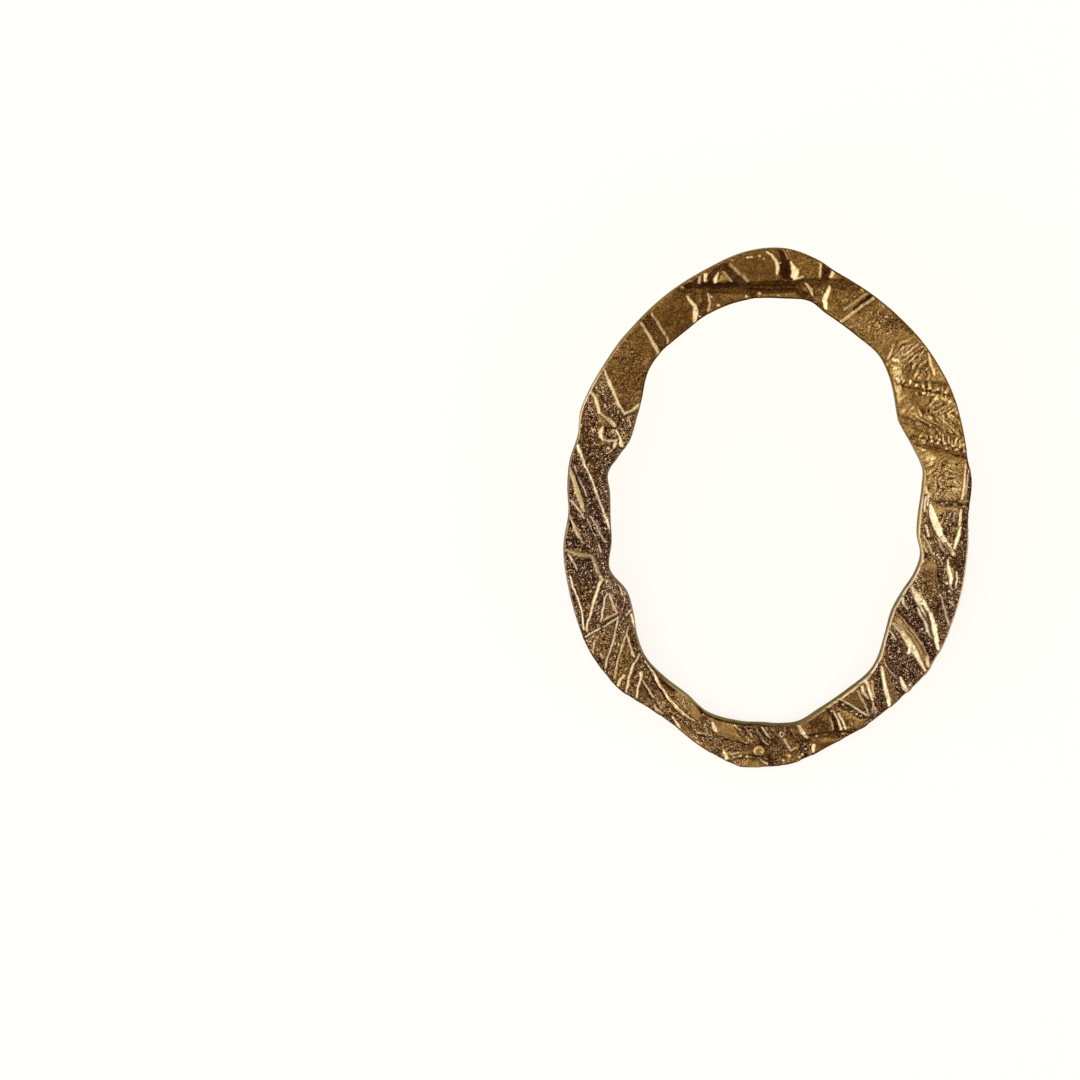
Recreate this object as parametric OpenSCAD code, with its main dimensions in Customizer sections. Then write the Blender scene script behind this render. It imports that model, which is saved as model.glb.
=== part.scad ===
// Etched hoop stud: an open, wavy oval cut from thick sheet metal. Grooves are etched
// into its face, and an ear post on a round pad is fixed behind its top. It lies face up
// as it would by itself: on the tip of the post and on the lower edge of the hoop.

/* [Hoop] */
// Length of the hoop, from its top to its lower edge
hoop_l = 52.7; // [48:0.1:58]
// Width of the hoop
hoop_w = 40.6; // [37:0.1:44]
// Thickness of the sheet metal
sheet_t = 1.4; // [1.2:0.1:2]
// Width of the softened rim round the face
rim_w = 0.15; // [0.05:0.05:0.25]
// How far the lowest stretch of the edge is filed flat
flat_cut = 0.15; // [0.1:0.05:0.3]

/* [Etching] */
// Depth of the etched ground below the face
etch_depth = 0.25; // [0.15:0.05:0.4]

/* [Ear post] */
// Diameter of the ear post
post_d = 0.8; // [0.7:0.05:1]
// Length of the post and its pad behind the hoop
post_l = 11; // [10:0.5:12]
// Diameter of the pad
pad_d = 4; // [3:0.5:4]
// Thickness of the pad
pad_t = 0.5; // [0.4:0.1:0.8]
// Post's place to the right of the hoop's middle
post_x = 1; // [0:0.1:1.5]
// Post's place above the hoop's middle
post_y = 23.7; // [23.4:0.1:23.8]
// Film of solder between the pad and the hoop
solder_gap = 0.03; // [0.02:0.01:0.05]

/* [Hidden] */

metal = [0.52, 0.42, 0.25];
post_metal = [0.80, 0.68, 0.38];
stations = 180;         // cross sections round the hoop
groove_fn = 12;         // sides of a groove's round ends
wide_fn = 32;           // sides of the widest ends
wide_from = 2;          // grooves wider than this get the finer ends
over = 0.5;             // how far a cutter passes through what it cuts

// Outline of the hoop. Columns: angle from the right-hand side, counter-clockwise,
// then the radius of the outer edge and of the inner edge there.
OUTLINE = [
    [0, 20.1, 15.2], [10, 20.6, 15.7], [16, 20.6, 16.1], [25, 21.1, 15.9],
    [35, 21.9, 15.9], [40, 22.2, 16.5], [50, 22.9, 18.3], [56, 23.3, 19.2],
    [65, 24.0, 19.8], [75, 24.9, 20.8], [80, 25.7, 21.6], [87, 26.4, 21.6],
    [95, 26.2, 21.6], [105, 25.1, 21.1], [115, 24.1, 20.1], [125, 23.1, 19.3],
    [130, 22.7, 18.6], [137, 22.1, 17.1], [145, 21.6, 16.0], [151, 21.2, 15.6],
    [157, 20.4, 15.8], [165, 20.3, 16.3], [172, 20.0, 15.7], [180, 19.7, 15.5],
    [190, 20.5, 15.6], [200, 21.0, 16.5], [210, 21.7, 15.9], [218, 22.4, 16.6],
    [225, 22.8, 17.9], [232, 23.1, 19.0], [240, 23.0, 19.6], [248, 23.6, 20.2],
    [255, 24.7, 21.3], [265, 26.2, 21.7], [270, 26.3, 21.7], [275, 26.1, 21.9],
    [280, 25.7, 21.9], [286, 24.9, 21.1], [295, 24.3, 20.2], [305, 23.6, 19.4],
    [315, 23.2, 17.4], [322, 22.6, 16.3], [330, 21.9, 16.0], [338, 21.3, 16.2],
    [345, 20.8, 16.1], [352, 20.4, 15.3]
];

// Grooves, one path a row. Columns of a path's points: x, y and the groove's width,
// measured from the hoop's middle. Paths run on past the edges they cross.
GROOVES = [
    // Top, from left to right
    [[-12.7, 20.3, 0.8], [-10.1, 16.1, 1]],
    [[-7, 22.7, 1.3], [-6.9, 19, 1.3]],
    [[-9.4, 22.6, 0.5], [-7, 22.5, 0.7], [-2.2, 22.5, 0.8], [2.5, 22.6, 0.8]],
    [[-6.3, 22.7, 0.8], [-5, 24.4, 0.6]],
    [[-4.9, 24.5, 0.6], [-2.4, 22.2, 0.9]],
    [[-1.9, 22.3, 0.5], [-1.7, 21.1, 0.6]],
    [[0.6, 26.7, 0.7], [1.1, 25.1, 0.8], [1.4, 24, 1.2], [2, 23.2, 0.5]],
    [[1.7, 23, 0.4], [3.9, 21, 0.6]],
    [[2.3, 23, 0.4], [5, 22.9, 0.5], [8.3, 22.8, 0.7]],
    [[5.5, 25.4, 0.8], [5.2, 22.9, 0.9]],
    [[4.8, 22.7, 0.9], [4.4, 20.6, 1.1]],
    // Upper right
    [[13, 21.4, 3.9], [7.7, 17.2, 3.9]],
    [[13.5, 14.1, 1], [14.8, 15.3, 0.9]],
    [[14.7, 15.9, 0.9], [15.3, 14.3, 0.6]],
    [[12.4, 13.1, 0.3], [15.2, 12.9, 0.4], [17, 12.7, 0.5], [18.2, 12.4, 0.6]],
    [[14, 12, 0.3], [16.2, 11.5, 0.3]],
    [[16.6, 12.4, 0.4], [18.4, 11.6, 0.6]],
    [[12.6, 9.7, 0.5], [14.1, 9.1, 0.5], [16.1, 8.5, 0.6], [18.1, 7.5, 0.4]],
    [[14.3, 7.5, 0.6], [16.4, 6.9, 0.7], [18.4, 6.3, 0.6], [20.1, 5.5, 0.7]],
    // Right
    [[17, 3.6, 3.4], [17.5, 3.6, 3.4]],
    [[16.2, 1.2, 0.5], [17.6, 1.1, 0.7], [19.4, 0.8, 0.6]],
    [[19.9, 5.7, 0.6], [20.1, 2.5, 0.6], [19.8, -0.6, 0.6], [19.6, -3.1, 0.6], [19.3, -5, 1.1]],
    [[15.7, 1.7, 0.4], [15.8, 0.1, 0.6], [16.3, -1.8, 1], [17.1, -3.8, 0.9], [17.6, -5.3, 0.7]],
    [[15.8, -4.5, 0.4], [17.9, -4.7, 0.6], [19.4, -5.1, 1.3]],
    // Lower right
    [[17.4, -4.8, 0.5], [17.6, -6.5, 0.7], [18.1, -8.6, 0.6], [18.8, -11.9, 0.5]],
    [[19.4, -5.1, 0.9], [19.3, -7.2, 0.8], [18.9, -10, 0.8], [18.7, -12.1, 0.5]],
    [[18.3, -8.1, 0.9], [18.9, -7.9, 0.8]],
    [[15.3, -5.5, 0.3], [14.5, -7.1, 0.4]],
    [[14.1, -8.1, 0.8], [14.5, -9.4, 1.4], [15.4, -11, 1.2], [16.1, -12.3, 1.1], [16.6, -13.4, 1],
     [17.1, -15.4, 0.6]],
    [[12.5, -12.3, 0.8], [13, -13.7, 1.4], [13.6, -14.8, 2.4], [14.4, -15.8, 2.2], [15.7, -17.5, 1.4]],
    [[13, -16.2, 0.5], [13.6, -17.5, 0.7], [14.5, -19.4, 1]],
    [[11.3, -15.8, 0.7], [11.4, -17.1, 0.9], [11.8, -18.8, 1.2], [12, -21.1, 1.8]],
    [[10.2, -17.5, 0.8], [10.7, -19.1, 1.1], [11.3, -21.3, 1.4]],
    // Bottom
    [[7, -19.4, 0.4], [8.4, -19.8, 0.7], [11, -21.4, 0.7], [11.6, -21.8, 0.7]],
    [[6.7, -19.9, 0.3], [7.7, -22.8, 0.4]],
    [[7.2, -20.3, 0.2], [8, -22.4, 0.2]],
    [[7.6, -20.6, 0.2], [8.3, -22.2, 0.2]],
    [[4.6, -23.1, 0.3], [6.8, -22.9, 0.4], [8.7, -22.7, 0.6], [10.3, -22.4, 0.4]],
    [[4.8, -23.2, 0.5], [4.4, -24.3, 0.9], [4.5, -25.8, 1]],
    [[3, -22, 1], [3.5, -23.2, 1.1], [4.2, -23.7, 0.6]],
    [[-1.1, -22.2, 1], [0.8, -23.5, 1.4], [1.7, -25.1, 1.6]],
    [[1.8, -22.1, 0.7], [2.3, -22.9, 0.4]],
    [[-6, -23, 0.8], [-3.5, -23.9, 0.9], [-1.3, -24.3, 0.5]],
    [[-3.1, -21.5, 0.3], [-1.7, -23.5, 0.3]],
    [[-6, -21.4, 0.7], [-5.3, -22.7, 0.7]],
    [[-4.7, -24.8, 0.8], [-4, -26, 0.8]],
    [[-3.3, -25.8, 0.4], [-1.7, -25.5, 0.4]],
    [[-1.7, -25.3, 0.4], [0.1, -25.4, 0.4]],
    [[0.1, -25.8, 0.7], [1.1, -26.4, 1]],
    // Lower left
    [[-12.3, -14.8, 0.9], [-11.7, -17.1, 1.1], [-10.6, -19.2, 1.2], [-8.8, -20.7, 0.8],
     [-6.6, -22.2, 1], [-4.9, -23.5, 0.9]],
    [[-10, -20.9, 0.7], [-9, -22.1, 0.7]],
    [[-12.5, -15.2, 0.6], [-12.9, -17.1, 0.7], [-13.5, -19.4, 0.7]],
    [[-14.4, -11, 0.5], [-14.9, -13.1, 0.5], [-15.5, -15.4, 0.8], [-16.2, -17.5, 0.8]],
    [[-17.4, -12.9, 0.6], [-17.8, -14.4, 0.8]],
    [[-17, -14.9, 0.4], [-16, -15.5, 0.4]],
    [[-17.8, -13, 0.4], [-16.3, -12, 0.3], [-14.6, -10.9, 0.3]],
    [[-16.5, -11.3, 0.3], [-14.6, -10.3, 0.3]],
    [[-17.6, -11.7, 0.4], [-16.7, -11.2, 0.4]],
    [[-16, -7.5, 0.7], [-16.6, -9.3, 0.8], [-17.1, -11.2, 0.8]],
    [[-15.3, -7.9, 0.5], [-14.4, -9.8, 0.6]],
    [[-18.9, -5.3, 1], [-17.6, -5.4, 1.2]],
    [[-18.6, -6.1, 0.8], [-17.4, -6.6, 1.2]],
    [[-19.7, -7.1, 0.4], [-19.1, -9.2, 0.6], [-18.3, -12.1, 0.6]],
    [[-19.9, -4.3, 0.5], [-19.6, -6.4, 0.7]],
    [[-16.1, -3.1, 0.7], [-16, -5.1, 0.8], [-15.5, -6.9, 1.1], [-14.9, -8.8, 0.9], [-13.4, -9.4, 0.9]],
    [[-14, -9.8, 0.8], [-13.6, -11.2, 0.8], [-12.7, -14.2, 0.7]],
    // Left
    [[-19.2, 6.3, 0.5], [-18.3, 3.9, 1.1], [-17.6, 1.5, 1.4], [-16.8, -1, 1.4], [-16, -3.1, 0.8]],
    [[-19.8, 0.9, 0.6], [-19, -0.2, 0.8], [-18, -1.8, 0.9], [-17.2, -3.4, 0.8]],
    [[-20, -2.9, 0.6], [-18.4, -3, 0.6], [-17.2, -3.8, 0.6]],
    // Upper left
    [[-17, 14.1, 0.7], [-16.5, 12.7, 1.4], [-15.9, 11.3, 1.4], [-15.3, 10.3, 1.2], [-14.3, 9.3, 1.2],
     [-13, 8.5, 1.2]],
    [[-17.7, 11.3, 0.7], [-17.6, 9.7, 1.3], [-17.5, 7.9, 1.4], [-17.8, 6.8, 0.8]],
    [[-15.9, 8.1, 0.7], [-14.9, 8.1, 0.8]],
    [[-16.1, 6.3, 1.2], [-14.9, 6.2, 1]],
    [[-16, 5.3, 0.8], [-16.2, 3.5, 0.9], [-16.3, 1.5, 0.7]]
];

// Lines left standing in the grooves, in the same columns.
RIDGES = [
    [[-7.1, 22.2, 0.3], [-6.9, 21.1, 0.3]],
    [[15.8, -1, 0.3], [16.3, -2.2, 0.3]],
    [[10.8, -17.1, 0.3], [11.3, -19.1, 0.2]],
    [[10.3, -17.4, 0.4], [11.1, -19.2, 0.3]],
    [[10, -17.9, 0.3], [10.5, -19, 0.2]],
    [[-0.1, -21.9, 0.2], [0.5, -23, 0.2]],
    [[0.2, -22.1, 0.2], [1.1, -23.2, 0.2]],
    [[2.1, -23.2, 0.3], [2.8, -24.5, 0.3]],
    [[2.8, -24.6, 0.3], [3.5, -23.8, 0.2]],
    [[2.9, -24.7, 0.2], [3.4, -25.4, 0.2]],
    [[-19.5, -0.2, 0.4], [-18.6, -1.6, 0.4], [-17.6, -3.3, 0.3]],
    [[-16.4, 8.8, 0.4], [-16.3, 7.8, 0.4]],
    [[-16.3, 7.7, 0.3], [-14.9, 7.4, 0.3]],
    [[-15, 8.4, 0.2], [-14.4, 7.2, 0.2]],
    [[-14.9, 7.4, 0.3], [-15.2, 6.7, 0.3]],
    [[-14.5, 7.4, 0.4], [-14.3, 6.7, 0.4]],
    [[-16.3, 5.9, 0.2], [-15.4, 6.6, 0.2]]
];

// The outline's radius in column k at any angle, as a smooth curve through the rows.
rows = len(OUTLINE);
function row_at(i) = OUTLINE[(i + rows) % rows];
function gap_to(a, b) = (b - a + 360) % 360;
function row_before(a) = len([for (row = OUTLINE) if (row[0] <= a) 1]) - 1;
function slope_at(i, k) =
    (row_at(i + 1)[k] - row_at(i - 1)[k]) / gap_to(row_at(i - 1)[0], row_at(i + 1)[0]);
function blend(t, h, r0, s0, r1, s1) =
    (2 * t ^ 3 - 3 * t ^ 2 + 1) * r0 + (t ^ 3 - 2 * t ^ 2 + t) * h * s0
    + (3 * t ^ 2 - 2 * t ^ 3) * r1 + (t ^ 3 - t ^ 2) * h * s1;
function radius_at(a, k) =
    let (i = row_before(a), h = gap_to(row_at(i)[0], row_at(i + 1)[0]))
    blend((a - row_at(i)[0]) / h, h, row_at(i)[k], slope_at(i, k), row_at(i + 1)[k], slope_at(i + 1, k));

// The table's own box, and the scale and shift that give the hoop its stated size.
angles = [for (i = [0:stations - 1]) 360 * i / stations];
table_edge = [for (a = angles) radius_at(a, 1) * [cos(a), sin(a)]];
table_low = [min([for (p = table_edge) p[0]]), min([for (p = table_edge) p[1]]) + flat_cut];
table_high = [max([for (p = table_edge) p[0]]), max([for (p = table_edge) p[1]])];
table_mid = (table_low + table_high) / 2;
stretch = [hoop_w / (table_high[0] - table_low[0]), hoop_l / (table_high[1] - table_low[1])];
function placed(p) = [
    (p[0] - table_mid[0]) * stretch[0],
    max((p[1] - table_mid[1]) * stretch[1], -hoop_l / 2)
];

// How it lies: the tilt that sets both the post's tip and the lower edge on z = 0.
tip_r = post_d / 2;
reach = post_y + hoop_l / 2;
drop = post_l - tip_r;
lie_tilt = atan2(drop, reach) + asin(tip_r / norm([reach, drop]));
low_z = hoop_l / 2 * sin(lie_tilt);
y_front = -hoop_l / 2 * cos(lie_tilt) - (sheet_t - rim_w) * sin(lie_tilt);
y_back = max(hoop_l / 2 * cos(lie_tilt), post_y * cos(lie_tilt) + drop * sin(lie_tilt) + tip_r);

// One cross section of the hoop, from the back of its inner edge to the back of its outer edge.
function section(a) =
    let (inner = radius_at(a, 2), outer = radius_at(a, 1), ray = [cos(a), sin(a)])
    [
        [placed(inner * ray), 0],
        [placed(inner * ray), sheet_t - rim_w],
        [placed((inner + rim_w) * ray), sheet_t],
        [placed((outer - rim_w) * ray), sheet_t],
        [placed(outer * ray), sheet_t - rim_w],
        [placed(outer * ray), 0]
    ];

module blank() {
    corners = 6;
    points = [for (a = angles) for (c = section(a)) [c[0][0], c[0][1], c[1]]];
    faces = [for (i = [0:stations - 1]) for (k = [0:corners - 1])
        let (j = (i + 1) % stations, m = (k + 1) % corners)
        [i * corners + k, j * corners + k, j * corners + m, i * corners + m]];
    polyhedron(points, faces);
}

// A flat path of round-ended strokes, each from one point to the next.
module stroke(path) {
    for (i = [1:len(path) - 1])
        hull()
            for (p = [path[i - 1], path[i]])
                translate([p[0] * stretch[0], p[1] * stretch[1]])
                    circle(d = p[2], $fn = p[2] > wide_from ? wide_fn : groove_fn);
}

module etching() {
    translate([0, 0, sheet_t - etch_depth])
        linear_extrude(etch_depth + over)
            difference() {
                union() for (path = GROOVES) stroke(path);
                union() for (path = RIDGES) stroke(path);
            }
}

module lying() {
    translate([0, -(y_front + y_back) / 2, low_z]) rotate([lie_tilt, 0, 0]) children();
}

module etched_hoop() {
    color(metal) lying() difference() {
        blank();
        etching();
    }
}

module ear_post() {
    color(post_metal) lying() translate([post_x, post_y, 0]) {
        translate([0, 0, -solder_gap - pad_t]) cylinder(d = pad_d, h = pad_t, $fn = 48);
        translate([0, 0, -drop]) cylinder(d = post_d, h = drop - solder_gap - pad_t, $fn = 32);
        translate([0, 0, -drop]) sphere(d = post_d, $fn = 32);
    }
}

etched_hoop();
ear_post();
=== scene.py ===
# %% [markdown]
# # An etched hoop stud in antiqued brass
#
# The object is a large open hoop, cut as a wavy oval from brass sheet 1.4 mm thick. Lines and
# shapes are etched 0.25 mm deep into its face, and the metal is darkened and rubbed back, so
# that the ground of the etching stays dark and the raised face and its edges shine. A short
# ear post is soldered behind the top. Laid down unworn, the hoop rests on the post's tip and
# on its own lower edge, so it lies a little tilted.
#
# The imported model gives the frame: every piece below is made in the same metres.

# %% Load the frame
import math

import bpy
import numpy as np
from mathutils import Matrix


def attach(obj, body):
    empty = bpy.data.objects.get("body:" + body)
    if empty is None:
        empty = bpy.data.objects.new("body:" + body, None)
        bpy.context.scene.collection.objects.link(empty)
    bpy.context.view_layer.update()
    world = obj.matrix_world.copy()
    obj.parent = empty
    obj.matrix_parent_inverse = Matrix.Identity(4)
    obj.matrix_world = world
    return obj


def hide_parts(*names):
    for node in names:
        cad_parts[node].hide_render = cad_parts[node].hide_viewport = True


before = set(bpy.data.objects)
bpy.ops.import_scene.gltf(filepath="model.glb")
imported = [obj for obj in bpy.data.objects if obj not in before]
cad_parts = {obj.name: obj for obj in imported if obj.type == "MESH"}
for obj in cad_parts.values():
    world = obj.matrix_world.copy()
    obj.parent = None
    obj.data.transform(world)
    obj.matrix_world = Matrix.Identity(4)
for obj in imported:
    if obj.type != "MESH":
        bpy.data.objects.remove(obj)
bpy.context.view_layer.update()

MM = 0.001


def in_mm(lengths):
    """Lengths in metres as rounded millimetres, for printing."""
    return [round(float(length) / MM, 2) for length in lengths]


# %% [markdown]
# ## The camera
#
# The photograph looks straight down from about 24 cm, and the hoop lies to the right of the
# picture's middle. A long lens keeps the shape free of distortion, yet the right arm is seen
# about ten degrees from its left side. The camera comes first, so that every look through it
# from here on shows the final framing.

# %% Camera
CAMERA_AT = (-0.02263, -0.00275, 0.2359)
SENSOR_WIDTH = 36.0
LENS = 76.67


def add_object(name, data):
    """A new object in the scene, at the origin and unturned."""
    obj = bpy.data.objects.new(name, data)
    bpy.context.scene.collection.objects.link(obj)
    return obj


camera_data = bpy.data.cameras.new("camera")
camera_data.sensor_width = SENSOR_WIDTH
camera_data.lens = LENS
camera_data.clip_start = 0.01
camera_data.clip_end = 20.0
camera = add_object("camera", camera_data)
camera.location = CAMERA_AT
bpy.context.scene.camera = camera
print("camera at, in mm:", in_mm(CAMERA_AT))

# %% [markdown]
# ## The hoop's outline
#
# A jeweller saws this hoop freehand, so its two edges wave in and out. A short table gives the
# radius of both edges at forty-six angles, and a smooth curve runs through them. The same
# table shapes the solid model. The last step scales the curve to the hoop's stated size and
# files the lowest stretch flat, where the hoop stands on the table.

# %% Outline table and curve
# Size of the finished hoop, and what the filed flat takes off its lower edge, in mm
HOOP_LENGTH, HOOP_WIDTH, SHEET = 52.7, 40.6, 1.4
FLAT_CUT = 0.15
# The solid model's outline is drawn with this many points
STATIONS_CAD = 180

# Columns: angle from the right-hand side, then the outer and the inner radius, in mm
OUTLINE = np.array([
    [0, 20.1, 15.2], [10, 20.6, 15.7], [16, 20.6, 16.1], [25, 21.1, 15.9],
    [35, 21.9, 15.9], [40, 22.2, 16.5], [50, 22.9, 18.3], [56, 23.3, 19.2],
    [65, 24.0, 19.8], [75, 24.9, 20.8], [80, 25.7, 21.6], [87, 26.4, 21.6],
    [95, 26.2, 21.6], [105, 25.1, 21.1], [115, 24.1, 20.1], [125, 23.1, 19.3],
    [130, 22.7, 18.6], [137, 22.1, 17.1], [145, 21.6, 16.0], [151, 21.2, 15.6],
    [157, 20.4, 15.8], [165, 20.3, 16.3], [172, 20.0, 15.7], [180, 19.7, 15.5],
    [190, 20.5, 15.6], [200, 21.0, 16.5], [210, 21.7, 15.9], [218, 22.4, 16.6],
    [225, 22.8, 17.9], [232, 23.1, 19.0], [240, 23.0, 19.6], [248, 23.6, 20.2],
    [255, 24.7, 21.3], [265, 26.2, 21.7], [270, 26.3, 21.7], [275, 26.1, 21.9],
    [280, 25.7, 21.9], [286, 24.9, 21.1], [295, 24.3, 20.2], [305, 23.6, 19.4],
    [315, 23.2, 17.4], [322, 22.6, 16.3], [330, 21.9, 16.0], [338, 21.3, 16.2],
    [345, 20.8, 16.1], [352, 20.4, 15.3],
])


def radius_at(angle, column):
    """Radius at each angle in degrees, by a cubic through the table's rows. With t from 0 to 1
    between rows 0 and 1, it is (2 t^3 - 3 t^2 + 1) radius 0 + (t^3 - 2 t^2 + t) step slope 0
    + (3 t^2 - 2 t^3) radius 1 + (t^3 - t^2) step slope 1. The step is the angle between the
    two rows, and the slope at a row is that of the straight line between its neighbours."""
    rows = len(OUTLINE)
    table_angle, table_radius = OUTLINE[:, 0], OUTLINE[:, column]
    before = np.searchsorted(table_angle, angle, side="right") - 1

    def index(shift):
        return (before + shift) % rows

    def turn(a, b):
        return (b - a + 360) % 360

    def slope(shift):
        rise = table_radius[index(shift + 1)] - table_radius[index(shift - 1)]
        return rise / turn(table_angle[index(shift - 1)], table_angle[index(shift + 1)])

    step = turn(table_angle[index(0)], table_angle[index(1)])
    t = (angle - table_angle[index(0)]) / step
    return ((2 * t**3 - 3 * t**2 + 1) * table_radius[index(0)]
            + (t**3 - 2 * t**2 + t) * step * slope(0)
            + (3 * t**2 - 2 * t**3) * table_radius[index(1)]
            + (t**3 - t**2) * step * slope(1))


cad_angle = np.arange(STATIONS_CAD) * 360 / STATIONS_CAD
cad_edge = radius_at(cad_angle, 1)[:, None] * np.stack(
    [np.cos(np.radians(cad_angle)), np.sin(np.radians(cad_angle))], axis=1)
table_low = cad_edge.min(axis=0) + np.array([0, FLAT_CUT])
table_high = cad_edge.max(axis=0)
TABLE_MIDDLE = (table_low + table_high) / 2
STRETCH = np.array([HOOP_WIDTH, HOOP_LENGTH]) / (table_high - table_low)
print("stretch of the table:", STRETCH.round(4), "middle:", TABLE_MIDDLE.round(3))


def placed(radius, angle):
    """Point of the hoop's own plane at a radius and an angle, scaled to the stated size,
    with everything below the filed flat lifted onto it."""
    x = (radius * np.cos(np.radians(angle)) - TABLE_MIDDLE[0]) * STRETCH[0]
    y = (radius * np.sin(np.radians(angle)) - TABLE_MIDDLE[1]) * STRETCH[1]
    return x, np.maximum(y, -HOOP_LENGTH / 2)


# %% [markdown]
# ## The etched lines
#
# Each groove is a brush stroke of etchant: a path with a width at every point. The first table
# also cuts the solid model, apart from four grooves that are a little corrected here. The second
# holds the lines left standing inside broad grooves. Both are measured in millimetres from the
# hoop's middle. In every table of paths, a point without a width has the one before it.

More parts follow.
